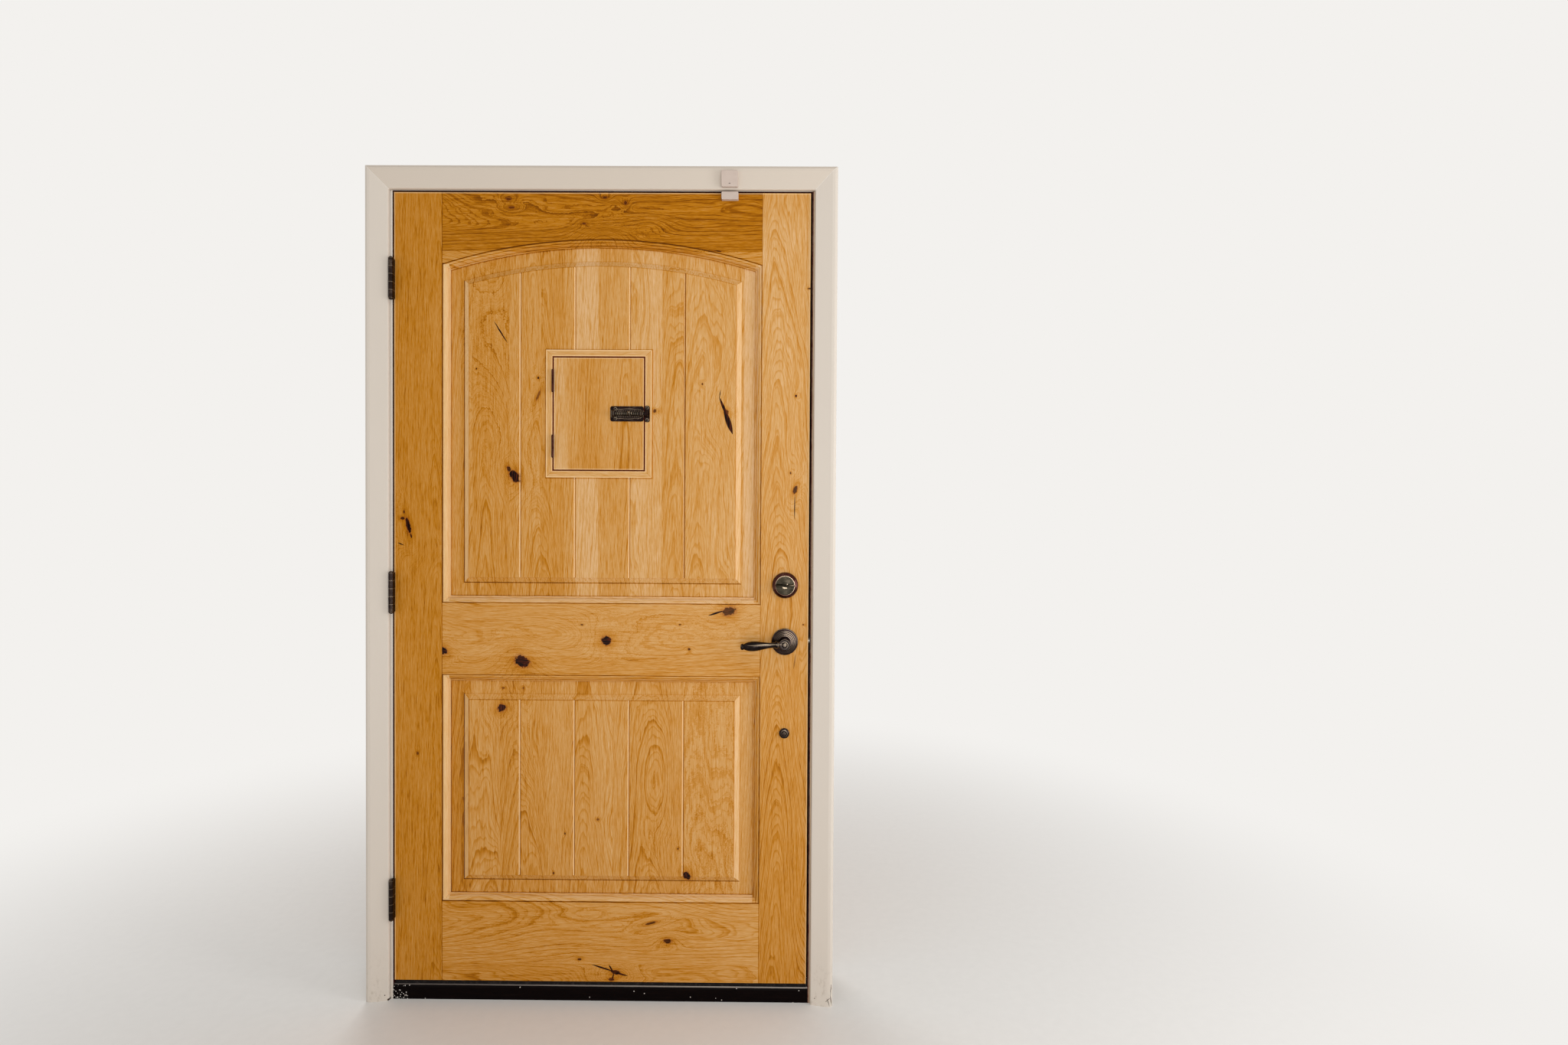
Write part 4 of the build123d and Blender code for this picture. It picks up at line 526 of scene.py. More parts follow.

# %% [markdown]
# The finish of one board. Rings, pores and clouds each make it a little darker or paler, and so do
# the painted shade of the mouldings and a painted sheen, so one number, the tone, goes through the
# ramp of colours. Mixing a colour for each would need as many colours as there are marks, and the
# wood would look patched together. Only what isn't wood's own tone is laid over it: painted
# highlights, rust, burnt knots and painted shade in cracks.

# %% Varnished alder
def alder(node, grain, strips, high, *, edges, lines, flecks, cloud, ring, taper=0.035, sheen=0.10,
          knots=(), cracks=(), eyes=(), sheen_and_tone=None, crack_shade=None):
    """Varnished alder on one CAD node. grain is up, along, or a function that gives both ways.
    strips are (start, tone, seed) across the grain, and high is where the last one ends.
    knots are (across, along, radius, radius, turn, darkness), eyes the same without a core, and
    cracks ((across, along), (across, along), half width, strength if it isn't 1). Distance from the
    heart is the root of the squares of the offset across and the depth, plus taper times the
    length, plus the pull of each knot, plus slow noise. Rings are the fraction of that distance
    over the ring. lines, flecks and cloud are the strengths of rings, pores and soft clouds. edges
    gives the painted shade and painted highlights along the board's mouldings; the shift of tone by
    place is a painted sheen where it grows toward the window and the board's own tone elsewhere;
    and the crack mask paints shade, dark maroon, into a crack round the hatch."""
    wood = Finish(f"alder_{node}")
    if grain == "up":
        across, along = wood.x, wood.z
    elif grain == "along":
        across, along = wood.z, wood.x
    else:
        across, along = grain(wood)
    depth = wood.y
    tone, seed, middle = strip_values(wood, across, strips, high)
    shift = seed * 7.3

    slow = wood.noise(across * 9.0 + shift, depth * 4.0, along * 2.1 + shift, detail=1.5)
    quick = wood.noise(across * 46.0 + shift, depth * 12.0, along * 8.0)
    ragged = (wood.noise(across * 170.0, depth * 90.0, along * 170.0) - 0.5) * 1.15
    offset = across - middle + (seed - 0.5) * 0.13 + (slow - 0.5) * 0.07
    heart = depth * 0.3 + (seed * 0.05 + 0.045)
    far = length(offset, heart) + (along + shift) * taper
    far = far + (slow - 0.5) * 0.055 + (quick - 0.5) * 0.0065
    pulls, core, rust, halo = board_marks(across, along, knots, eyes, cracks, ragged, quick)

    turns = (far + pulls) / ring
    part = turns.do("FRACT")
    count = turns.do("FLOOR")
    strength = wood.node("TexWhiteNoise", {"noise_dimensions": "1D"}, {"W": count + shift})
    late = part.rise(0.70, 0.96) * part.fall(0.97, 1.0) * (strength * 0.85 + 0.15)
    thirds = (turns * 3.0 + strength).do("FRACT")
    late = larger(late, thirds.rise(0.60, 0.92) * thirds.fall(0.94, 1.0) * 0.50)

    fibre = wood.noise(across * 340.0, depth * 300.0, along * 20.0 + shift, detail=3.0, rough=0.65)
    fine = wood.noise(across * 800.0, depth * 800.0, along * 60.0, detail=1.0)
    patch = wood.noise(across * 14.0 + shift, depth * 10.0, along * 3.2 - shift, detail=3.0)
    dash = fibre.fall(0.32, 0.46)

    value = tone + 0.02 - late * (lines * 1.5) - dash * flecks + (patch - 0.5) * cloud * 2.0
    value = value + (fine - 0.5) * 0.38 + (fibre - 0.5) * 0.48
    if sheen_and_tone is not None:
        value = value + sheen_and_tone(wood)
    if knots:
        value = value - halo * (quick * 0.30)
    dark, light = edges(wood)
    colour = wood.node("ValToRGB", {"stops": TONES}, {0: value - dark})
    # Painted highlights from the edge marks, toward a pale varnish colour.
    colour = wood.mix(light.do("MINIMUM", 1.0), colour, screen(252, 220, 168))
    height = fibre * 0.35 - late * 0.25
    if knots:
        burnt = wood.mix(fine.rise(0.45, 0.7), screen(16, 6, 5), screen(88, 36, 16))
        colour = wood.mix(core, wood.mix(rust * 0.55, colour, screen(156, 84, 30)), burnt)
        height = height - core * 2.2
    # Painted shade in the crack round the hatch, dark maroon.
    if crack_shade is not None:
        colour = wood.mix(crack_shade(wood), colour, screen(104, 30, 16))
    wood.set(Base_Color=colour, Roughness=0.34 + fibre * 0.16, Specular_IOR_Level=sheen)
    wood.bump(height, depth=0.00028, strength=0.8)
    dress(wood, node)


print("alder finish ready")

# %% [markdown]
# The two stiles. The left one, by the hinges, is a deep amber board full of short pores, with a
# split knot at three fifths of its height. The right one, by the lock, is paler, with long
# pointed arches at its top and a few pin knots.

# %% Stiles
alder(
    "hinge_stile", "up", [(-0.54, 0.485, 0.22)], -0.38,
    knots=[(-0.4975, 1.229, 0.0055, 0.021, 14, 1.0), (-0.5125, 1.247, 0.006, 0.0045, 0, 0.9),
           (-0.5085, 1.2635, 0.002, 0.004, 0, 0.8), (-0.473, 0.640, 0.002, 0.004, 0, 0.7)],
    cracks=[((-0.5290, 1.1858), (-0.5080, 1.1775), 0.0013),
            ((-0.4905, 1.208), (-0.4880, 1.196), 0.002)],
    eyes=[(-0.500, 1.222, 0.012, 0.016, 0, 0.05), (-0.452, 1.165, 0.010, 0.012, 0, 0.02)],
    lines=0.12, flecks=0.09, cloud=0.09, ring=0.0062, taper=0.03, sheen=0.03,
    # This stile's moulding is painted light, as it faces the window.
    edges=frame_lines(-0.34, -0.34, glow=0.30))

alder(
    "latch_stile", "up", [(0.38, 0.72, 0.52)], 0.54,
    knots=[(0.4982, 1.5662, 0.0028, 0.0034, 0, 0.95), (0.4972, 1.3259, 0.0050, 0.0115, -20, 0.85),
           (0.4855, 1.369, 0.002, 0.003, 0, 0.8), (0.5303, 1.8401, 0.004, 0.002, 0, 0.8),
           (0.5202, 0.980, 0.0018, 0.002, 0, 0.8)],
    cracks=[((0.4968, 1.314), (0.4962, 1.250), 0.0010),
            ((0.5010, 0.905), (0.4950, 0.866), 0.0018, 0.45)],
    lines=0.24, flecks=0.07, cloud=0.10, ring=0.0085, taper=0.075,
    edges=frame_lines(-0.08, -0.12),
    # The tone rises up the stile as a painted sheen, and falls again at its very top.
    sheen_and_tone=lambda wood: (wood.z - 1.25) * 0.16 - wood.z.rise(1.95, 2.08) * 0.14)
print("stiles dressed")

# %% [markdown]
# The three rails lie across, so their grain runs along X. The top rail is the darkest board of
# the door and has the strongest figure: the lines swirl round an eye just above the arch, and a
# paler strip is glued on below. The middle and bottom rails are glued from two strips each.

# %% Rails
alder(
    "top_rail", "along", [(1.88, 0.60, 0.9), (1.9325, 0.375, 0.35)], 2.09,
    knots=[(2.0648, -0.2402, 0.0035, 0.006, 0, 0.75), (2.0435, -0.2323, 0.003, 0.008, 0, 0.6),
           (2.0696, 0.0067, 0.003, 0.006, 0, 0.7), (2.0562, 0.0596, 0.0045, 0.004, 0, 0.8),
           (2.0033, -0.046, 0.0025, 0.005, 0, 0.7), (1.9345, 0.297, 0.0016, 0.010, 4, 0.9)],
    eyes=[(1.966, 0.0012, 0.010, 0.018, 0, 0.055), (2.030, -0.235, 0.010, 0.050, 0, 0.016),
          (2.000, 0.118, 0.008, 0.020, 0, 0.022)],
    lines=0.28, flecks=0.05, cloud=0.08, ring=0.0066, taper=0.03, sheen=0.02,
    edges=frame_lines(-0.14, -0.14))

alder(
    "lock_rail", "along", [(0.83, 0.63, 0.15), (0.8925, 0.70, 0.62)], 1.05,
    knots=[(0.9349, 0.014, 0.0125, 0.0125, 0, 1.0), (0.880, -0.2032, 0.0150, 0.0200, 28, 1.0),
           (0.9065, -0.4075, 0.0090, 0.0120, 30, 1.0), (1.0129, 0.3291, 0.0110, 0.0190, -14, 0.86),
           (0.9148, 0.2272, 0.0030, 0.0035, 0, 0.8), (0.9777, 0.2032, 0.0018, 0.003, 0, 0.7),
           (0.9759, -0.0493, 0.0018, 0.004, 0, 0.8)],
    cracks=[((1.0140, 0.318), (1.0015, 0.276), 0.0022)],
    eyes=[(0.985, 0.040, 0.020, 0.030, 0, 0.04), (0.985, 0.185, 0.014, 0.03, 0, 0.02)],
    lines=0.20, flecks=0.09, cloud=0.10, ring=0.0080, taper=0.05,
    # The rail grows paler to the right as a painted sheen.
    edges=frame_lines(-0.06, -0.22), sheen_and_tone=lambda wood: wood.x * 0.10)

alder(
    "bottom_rail", "along", [(0.04, 0.59, 0.77), (0.0965, 0.665, 0.4)], 0.27,
    knots=[(0.157, 0.175, 0.0060, 0.0105, 0, 0.9), (0.2035, 0.1312, 0.0030, 0.0150, -14, 0.75),
           (0.1078, -0.053, 0.0030, 0.0055, 0, 0.8), (0.0747, 0.040, 0.0060, 0.0120, 10, 0.95),
           (0.0560, 0.030, 0.0040, 0.0080, 0, 0.85)],
    cracks=[((0.0760, 0.036), (0.0945, -0.022), 0.0022), ((0.0747, 0.034), (0.0950, 0.022), 0.0020),
            ((0.0747, 0.036), (0.0660, 0.072), 0.0022), ((0.0720, 0.036), (0.0520, 0.030), 0.0018)],
    eyes=[(0.070, 0.030, 0.010, 0.020, 0, 0.035), (0.165, -0.10, 0.02, 0.06, 0, 0.02)],
    lines=0.22, flecks=0.09, cloud=0.13, ring=0.0072, taper=0.04, sheen=0.05,
    # The rail grows paler to the right as a painted sheen.
    edges=frame_lines(-0.20, -0.20), sheen_and_tone=lambda wood: wood.x * 0.12)
print("rails dressed")

# %% [markdown]
# The panels. Each is glued up from a dozen narrow strips, and V-grooves are cut every 141 mm to
# look like planks, not always where two strips meet. The strips differ in tone and figure, so
# the list gives each one's left edge, tone and seed.

# %% Panels
alder(
    "upper_panel", "up",
    [(-0.42, 0.66, 0.12), (-0.3371, 0.60, 0.55), (-0.2400, 0.66, 0.30), (-0.1578, 0.60, 0.83),
     (-0.1000, 0.68, 0.20), (-0.0695, 0.85, 0.05), (-0.0115, 0.665, 0.02), (0.0690, 0.79, 0.95),
     (0.1512, 0.675, 0.42), (0.2105, 0.70, 0.66), (0.3453, 0.70, 0.25), (0.3640, 0.86, 0.08)],
    0.42,
    knots=[(-0.2256, 1.357, 0.0120, 0.0170, 35, 1.0), (-0.2400, 1.376, 0.0050, 0.0080, 20, 0.9),
           (-0.1649, 1.6103, 0.0030, 0.0035, 0, 0.9), (-0.1650, 1.565, 0.0030, 0.0150, -22, 0.55),
           (-0.3243, 1.6331, 0.0020, 0.0022, 0, 0.8), (0.2575, 1.5968, 0.0022, 0.0030, 0, 0.7),
           (0.3190, 1.524, 0.0060, 0.0070, 20, 0.8), (0.1351, 1.5267, 0.0040, 0.0045, 0, 0.75)],
    cracks=[((-0.2792, 1.7546), (-0.2445, 1.7000), 0.0017),
            ((0.3000, 1.564), (0.3250, 1.508), 0.0036), ((0.3130, 1.534), (0.3365, 1.468), 0.0068),
            ((0.3040, 1.582), (0.3010, 1.562), 0.0010)],
    eyes=[(-0.2673, 1.6451, 0.018, 0.045, 12, 0.055), (-0.290, 1.78, 0.016, 0.03, 0, 0.02),
          (0.3100, 1.500, 0.014, 0.022, 0, 0.030)],
    lines=0.20, flecks=0.10, cloud=0.09, ring=0.0078, taper=0.05, sheen=0.06,
    edges=field_lines(upper_edges, deep=GROOVES[3:], surround=True),
    # The panel grows paler to the right as a painted sheen.
    sheen_and_tone=lambda wood: wood.x * 0.10 + 0.03)

alder(
    "lower_panel", "up",
    [(-0.42, 0.66, 0.12), (-0.3980, 0.50, 0.35), (-0.3440, 0.655, 0.58), (-0.2640, 0.585, 0.33),
     (-0.2115, 0.60, 0.80), (-0.1451, 0.66, 0.10), (-0.0738, 0.635, 0.52), (-0.0303, 0.685, 0.91),
     (0.0291, 0.66, 0.28), (0.0658, 0.62, 0.70), (0.2080, 0.665, 0.46), (0.3435, 0.70, 0.16)],
    0.42,
    knots=[(-0.2584, 0.7576, 0.0110, 0.0105, 0, 1.0), (0.2231, 0.3239, 0.0100, 0.0120, 15, 1.0),
           (-0.0935, 0.4325, 0.0018, 0.003, 0, 0.8), (-0.1230, 0.3287, 0.0022, 0.0035, 0, 0.8),
           (0.1998, 0.3953, 0.0022, 0.0030, 0, 0.8), (-0.2570, 0.808, 0.0040, 0.0022, 0, 0.5),
           (-0.2050, 0.808, 0.0020, 0.0030, 0, 0.5), (-0.0080, 0.470, 0.0040, 0.0030, 0, 0.5)],
    eyes=[(0.1755, 0.364, 0.012, 0.030, 14, 0.030), (0.2950, 0.60, 0.020, 0.12, 0, 0.045),
          (-0.1700, 0.690, 0.020, 0.04, 0, 0.02)],
    lines=0.22, flecks=0.10, cloud=0.09, ring=0.0080, taper=0.05,
    edges=field_lines(lower_edges),
    # The panel grows paler to the right and upward as a painted sheen.
    sheen_and_tone=lambda wood: wood.x * 0.04 + (wood.z - 0.55) * 0.06 + 0.03)
print("panels dressed")

# %% [markdown]
# The hatch. Its frame is four strips cut at 45 degrees, so the grain turns at each corner. One
# finish does this: where a point is nearer the top or bottom edge than the sides, width and
# length change places. The little door is a single flat board with a bold upright figure.

# %% Hatch
def turned_grain(wood):
    """Across and along for mitred strips: the point's distance past each pair of sides decides."""
    side, up = past_hatch(wood, HATCH_OUTSIDE)
    lies = up.do("GREATER_THAN", side)
    across = wood.x + lies * (wood.z - wood.x)
    along = wood.z + lies * (wood.x - wood.z) + lies * 0.6
    return across, along


def crack_distance(wood):
    """How far out a point is from the line midway between the leaf and its frame."""
    return larger(*past_hatch(wood, HATCH_GAP))


def mitre_lines(wood):
    """The four mitres of the surround, where the distances past its sides are equal, and painted
    highlights on the arrises of its outer and inner edges."""
    side, up = past_hatch(wood, HATCH_OUTSIDE)
    outer = line_at(larger(side, up), -0.0016, 0.0016) * 0.45
    inner = line_at(crack_distance(wood), 0.0034, 0.0014) * 0.40
    return line_at(side - up, 0.0, 0.0009) * 0.30, outer + inner


def leaf_lines(wood):
    """A painted highlight along the little door's arris, just inside the crack."""
    return 0.0, line_at(crack_distance(wood), -0.0032, 0.0014) * 0.40


def hatch_crack_shade(wood):
    """Painted shade in the crack round the leaf: 1 within 2 mm of the line midway between leaf and
    frame, which takes in the edges below the room face and a thin rim on it."""
    return abs(crack_distance(wood)).fall(0.0015, 0.0021) * wood.y.fall(-0.0394, -0.0392)


alder(
    "hatch_frame", turned_grain, [(-0.2, 0.80, 0.30)], 2.0,
    lines=0.10, flecks=0.07, cloud=0.05, ring=0.009, crack_shade=hatch_crack_shade, edges=mitre_lines)
alder(
    "hatch_door", "up", [(-0.13, 0.70, 0.02)], 0.12,
    lines=0.24, flecks=0.10, cloud=0.09, ring=0.0078, taper=0.05, crack_shade=hatch_crack_shade, edges=leaf_lines,
    sheen_and_tone=lambda wood: (wood.x.fall(-0.108, -0.074) * 0.14
                       - abs(wood.x + 0.030).fall(0.012, 0.045) * 0.10))
print("hatch dressed")

# %% [markdown]
# White paint on jambs, casing and outside trim. Sprayed plastic would be even; brushed paint has
# long faint strokes, is a little thicker in the corners and chips where feet reach. Strokes are
# noise drawn out along each piece, and the chips, nail holes and cracked lines near the floor
# are placed where they show.

# %% Painted shade in the door's gap
MITRE_X, MITRE_Z = 0.5438, 2.0872
JAMB_OUTSIDE, ARRIS_X = 0.5436, 0.5372


def rabbet_gap_shade(coat, colour, slow, grime):
    """The colour of jambs and head, and a mask of painted gap shade. The faces that the shut door
    hides are painted dark maroon, as shade in the gap, and so is the latch jamb's rim. The front
    strip of that jamb beside the gap is given a warm painted shade, and a faint dark line of
    painted shadow runs along the casing's edge on the jambs."""
    hidden = coat.y.rise(-0.0578, -0.0572) * coat.y.fall(-0.0094, -0.0092)
    hidden = hidden * abs(coat.x).fall(0.5376, 0.5380) * coat.z.fall(2.0861, 2.0865)
    front = coat.y.fall(-0.0570, -0.0560)
    warm_tone = coat.x.rise(ARRIS_X - 0.0002, ARRIS_X + 0.0002) * front
    colour = coat.mix(warm_tone * (grime * 0.5 + 0.5), colour, screen(200, 170, 132))
    outer = larger(abs(coat.x), coat.z - (MITRE_Z - MITRE_X))
    seam = line_at(outer, JAMB_OUTSIDE, 0.0008) * front
    colour = coat.mix(seam * 0.8, colour, screen(104, 84, 70))
    rim = warm_tone * coat.x.fall(0.5402, 0.5412)
    gap_shade = larger(hidden, rim * (grime * 0.5 + 0.65))
    maroon = coat.mix(slow, screen(52, 8, 4), screen(78, 18, 10))
    return coat.mix(gap_shade, colour, maroon), gap_shade


print("stain ready")

# %% Paint
def paint(name, *on, grain="up", holes=(), lines=(), mitre=False, rabbet=False,
          tint=screen(214, 204, 192)):
    """Brushed white paint on CAD nodes. grain is up or along; holes are (x, z, radius); lines are
    cracks. rabbet paints shade into the door's gap: dark maroon on the faces that the shut door
    hides and on the latch jamb's rim, with painted shadow along the casing's edge."""
    coat = Finish(name)
    across, along = (coat.x, coat.z) if grain == "up" else (coat.z, coat.x)
    strokes = coat.noise(across * 420.0, coat.y * 420.0, along * 7.0, detail=3.0, rough=0.6)
    slow = coat.noise(coat.x * 3.0, coat.y * 3.0, coat.z * 3.0)
    low = coat.z.fall(0.0, 0.16)
    grime = coat.noise(coat.x * 90.0, coat.y * 90.0, coat.z * 50.0, detail=4.0, rough=0.7)
    dirt = grime.rise(0.50, 0.72) * low * 0.35
    shade = (strokes - 0.5) * 0.05 + (slow - 0.5) * 0.10
    darker, paler = (tuple(min(1, c * by) for c in tint[:3]) + (1,) for by in (0.90, 1.10))
    colour = coat.mix(dirt, coat.mix(0.5 + shade * 2.0, darker, paler), screen(150, 132, 112))
    height = strokes * 0.30
    rough = 0.36 + strokes * 0.14
    marks = None
    for x, z, radius in holes:
        reach = length(coat.x - x, coat.z - z) / radius
        marks = larger(marks, (reach + (grime - 0.5) * 0.8).fall(0.6, 1.0))
    for crack in lines:
        marks = larger(marks, crack_mask(coat.x, coat.z, crack, (grime - 0.5) * 0.004))
    if mitre:
        seam = abs(abs(coat.x) - MITRE_X - coat.z + MITRE_Z).fall(0.0004, 0.0013)
        colour = coat.mix(seam * 0.55, colour, screen(236, 230, 222))
        height = height - seam * 1.2
    if rabbet:
        colour, gap_shade = rabbet_gap_shade(coat, colour, slow, grime)
        rough = rough + gap_shade * 0.5
    if marks is not None:
        colour = coat.mix(marks, colour, screen(58, 44, 34))
        height = height - marks * 2.0
    coat.set(Base_Color=colour, Roughness=rough, Specular_IOR_Level=0.16)
    coat.bump(height, depth=0.00022, strength=0.7)
    dress(coat, *on)


print("paint ready")

# %% Painted pieces
paint("paint_left_casing", "casing_left", mitre=True,
      holes=[(-0.5536, 0.0151, 0.0016), (-0.5452, 0.0030, 0.0034)])
paint("paint_right_casing", "casing_right", mitre=True, holes=[(0.5553, 0.0185, 0.0016)],
      lines=[((0.5975, 0.058), (0.5955, 0.03), 0.0006), ((0.5955, 0.03), (0.5985, 0.003), 0.0009),
             ((0.587, 0.022), (0.5935, 0.002), 0.0006), ((0.582, 0.012), (0.5955, 0.024), 0.0005)])
# The head casing's darker tint is painted shade, as less light reaches it.
paint("paint_head_casing", "casing_head", grain="along", mitre=True, tint=screen(209, 197, 183))
paint("paint_jambs", "hinge_jamb", "latch_jamb", "door_stops", "brickmould_left",
      "brickmould_right", rabbet=True, tint=screen(214, 205, 194))
paint("paint_head", "head_jamb", "brickmould_head", grain="along", rabbet=True,
      tint=screen(212, 203, 192))
print("paint on jambs, stops, casing and outside trim")

# %% [markdown]
# Oil-rubbed bronze. The metal is stained nearly black, and hands rub it back to a warm brown on the
# lever, the knob and every raised edge. A plain black gloss would look like plastic. So the metal
# keeps a brown reflection, clouds of darker stain, patches rubbed bright, and painted highlights on
# rims, ribs and handles, at places given one by one.

# %% Bronze
HATCH_BOLT = HATCH_MIDDLE[1]


def bronze(name, *on, warm_tone=0.25, rough=0.30, tint=screen(42, 26, 20), rubbed=(), rings=(),
           highlight_streaks=(), ribs=None, joints=None, disc=None):
    """Stained metal on CAD nodes. rubbed holds (x, y, z, radius, amount) for spots that hands
    polish, some of them painted highlights; rings (x, z, radius, half width, amount) are painted
    highlights on rims round a turning part, brighter toward the window; each streak ((x, z), (x,
    z), half width, amount) is a painted highlight line; ribs (pitch, amount, half height) are cast
    ribs along the hatch bolt, painted as lit crests; joints (height, pitch) are the lines between a
    hinge's knuckles; and disc (x, z, radius, tint) is a middle stained another colour."""
    metal = Finish(name)
    cloud = metal.noise(scale=55.0, detail=4.0, rough=0.6)
    grain = metal.noise(scale=900.0)
    wear_and_highlight = cloud.rise(0.55, 0.80) * warm_tone
    for x, y, z, radius, amount in rubbed:
        reach = length(metal.x - x, metal.y - y, metal.z - z) / radius
        wear_and_highlight = larger(wear_and_highlight, (reach + (cloud - 0.5) * 0.5).fall(0.25, 1.0) * amount)
    for x, z, radius, half_width, amount in rings:
        side, up = metal.x - x, metal.z - z
        out = length(side, up)
        toward = (side * 0.6 + up * 0.8) / (out + 0.0001) * 0.45 + 0.55
        wear_and_highlight = larger(wear_and_highlight, line_at(out, radius, half_width, 0.4) * toward * amount)
    for start, end, half_width, amount in highlight_streaks:
        run = crack_mask(metal.x, metal.z, (start, end, half_width), (cloud - 0.5) * 0.001)
        wear_and_highlight = larger(wear_and_highlight, run * amount)
    if ribs is not None:
        pitch, amount, height = ribs
        beside = abs(metal.z - HATCH_BOLT).fall(height, height + 0.001)
        wave = (metal.x * (2 * math.pi / pitch)).do("SINE") * beside
        wear_and_highlight = larger(wear_and_highlight, wave.rise(0.35, 0.95) * (cloud * 0.6 + 0.4) * amount)
    if joints is not None:
        low, pitch = joints
        part = ((metal.z - low) / pitch + 0.5).do("FRACT")
        wear_and_highlight = larger(wear_and_highlight, abs(part - 0.5).fall(0.02, 0.055) * (cloud * 0.5 + 0.1))
    if disc is not None:
        x, z, radius, inner = disc
        inside = length(metal.x - x, metal.z - z).fall(radius - 0.0004, radius + 0.0004)
        tint = metal.mix(inside, tint, inner)
    colour = metal.mix(cloud.rise(0.3, 0.7) * 0.55 + 0.45, screen(2, 2, 2), tint)
    metal.set(Base_Color=metal.mix(wear_and_highlight, colour, screen(176, 158, 134)), Metallic=0.85,
              Roughness=cloud * 0.14 + rough - 0.07 - wear_and_highlight * 0.08, Specular_IOR_Level=0.12,
              Coat_Weight=cloud.rise(0.2, 0.6) * 0.22, Coat_Roughness=0.12)
    metal.bump(grain, depth=0.00004, strength=0.4)
    dress(metal, *on)
    return metal


print("bronze ready")

# %% [markdown]
# Hinges and locks. A hinge's joints are thin bright lines, one knuckle apart. The lever is the
# piece most handled; a painted highlight streak runs along it, and the stepped rose behind it gets
# a painted highlight on each step. The deadbolt's rose has a dark dished middle and a painted
# highlight on its rim.

# %% Hinges and locks
HINGE_HEIGHT, KNUCKLES = 0.1016, 5
HINGES = (("bottom", 0.2132), ("middle", 1.0062), ("top", 1.8082))
LOCK_X = 0.4732
LEVER_Z, DEADBOLT_Z, COVER_Z = 0.936, 1.081, 0.700
ROSE_STEPS = ((0.0330, 0.34), (0.0280, 0.34), (0.0242, 0.42), (0.0204, 0.46), (0.0168, 0.34))

for where, low in HINGES:
    bronze(f"bronze_{where}_hinge", f"{where}_hinge_jamb_leaf", f"{where}_hinge_door_leaf",
           warm_tone=0.22, rough=0.36, joints=(low, HINGE_HEIGHT / KNUCKLES))
pins = bronze("bronze_pins", "hinge_pins", warm_tone=0.22, rough=0.36)
bronze("brown_hatch_hinges", "hatch_hinge_frame_leaves", "hatch_hinge_pins",
       "hatch_hinge_door_leaves", warm_tone=0.12, rough=0.34, tint=screen(74, 32, 20))
# The arm's streak, the collar's marks and the rings round the button are painted highlights; the
# button's spot is wear and a painted highlight.
bronze("bronze_lever", "lever_handle", warm_tone=0.06, rough=0.18, tint=screen(26, 13, 11),
       rubbed=[(0.4745, -0.118, 0.9375, 0.007, 0.26)],
       rings=[(LOCK_X, LEVER_Z, 0.0140, 0.0011, 0.55), (LOCK_X, LEVER_Z, 0.0085, 0.0009, 0.40)],
       highlight_streaks=[((0.3800, 0.9345), (0.4700, 0.9378), 0.0017, 0.50),
                ((0.3635, 0.9380), (0.3635, 0.9300), 0.0012, 0.4),
                ((0.4560, 0.9430), (0.4570, 0.9300), 0.0012, 0.5)])
# Painted highlights on each step of the rose.
bronze("bronze_lever_rose", "lever_rose", warm_tone=0.08, rough=0.22, tint=screen(38, 18, 14),
       rings=[(LOCK_X, LEVER_Z, radius, 0.0008, amount) for radius, amount in ROSE_STEPS])
# Painted highlights on two rings of the cover.
bronze("bronze_grip_bolt_cover", "grip_bolt_cover", warm_tone=0.05, rough=0.22, tint=screen(36, 22, 18),
       rings=[(LOCK_X, COVER_Z, 0.0082, 0.0010, 0.40), (LOCK_X, COVER_Z, 0.0030, 0.0012, 0.45)])
# A painted highlight on the rose's rim.
bronze("bronze_deadbolt_rose", "deadbolt_rose", warm_tone=0.10, rough=0.26, tint=screen(66, 22, 12),
       rings=[(LOCK_X, DEADBOLT_Z, 0.0247, 0.0012, 0.85)],
       disc=(LOCK_X, DEADBOLT_Z, 0.0240, screen(34, 26, 4)))
# The thumbturn's two streaks are painted highlights.
bronze("bronze_thumbturn", "thumbturn", warm_tone=0.06, rough=0.24, tint=screen(34, 26, 5),
       highlight_streaks=[((0.4770, 1.0850), (0.5060, 1.0850), 0.0022, 0.90),
                ((0.4480, 1.0765), (0.4810, 1.0748), 0.0020, 0.80)])
outside = bronze("bronze_outside", "outside_grip", "thumb_latch", "deadbolt_cylinder", "key_plug",
                 "latch_strike", "deadbolt_strike", warm_tone=0.15,
                 rubbed=[(LOCK_X, 0.050, 0.80, 0.05, 0.30)])
print("bronze on hinges and locks")

# %% [markdown]
# The hatch's ironwork is blacker and rougher. Its bolt and the plate beneath it are ribbed along a
# band, shown as painted highlights on the ribs' crests, and a painted highlight rings each screw.

# %% Hatch ironwork
PLATE_SCREWS, PLATE_RISE = 0.0349, 0.0125
KEEPER_SCREWS, KEEPER_RISE = 0.1165, 0.0155
RIB_PITCH, RIB_REACH = 0.0046, 0.0088


def screw_rings(x, rise):
    """Painted highlights on rims round the two screws that stand above and below the hatch bolt."""
    return [(x, HATCH_BOLT + step, 0.0036, 0.0009, 0.75) for step in (-rise, rise)]


iron = bronze("iron_hatch_fittings", "hatch_grille", warm_tone=0.12, rough=0.34,
              tint=screen(30, 16, 12))
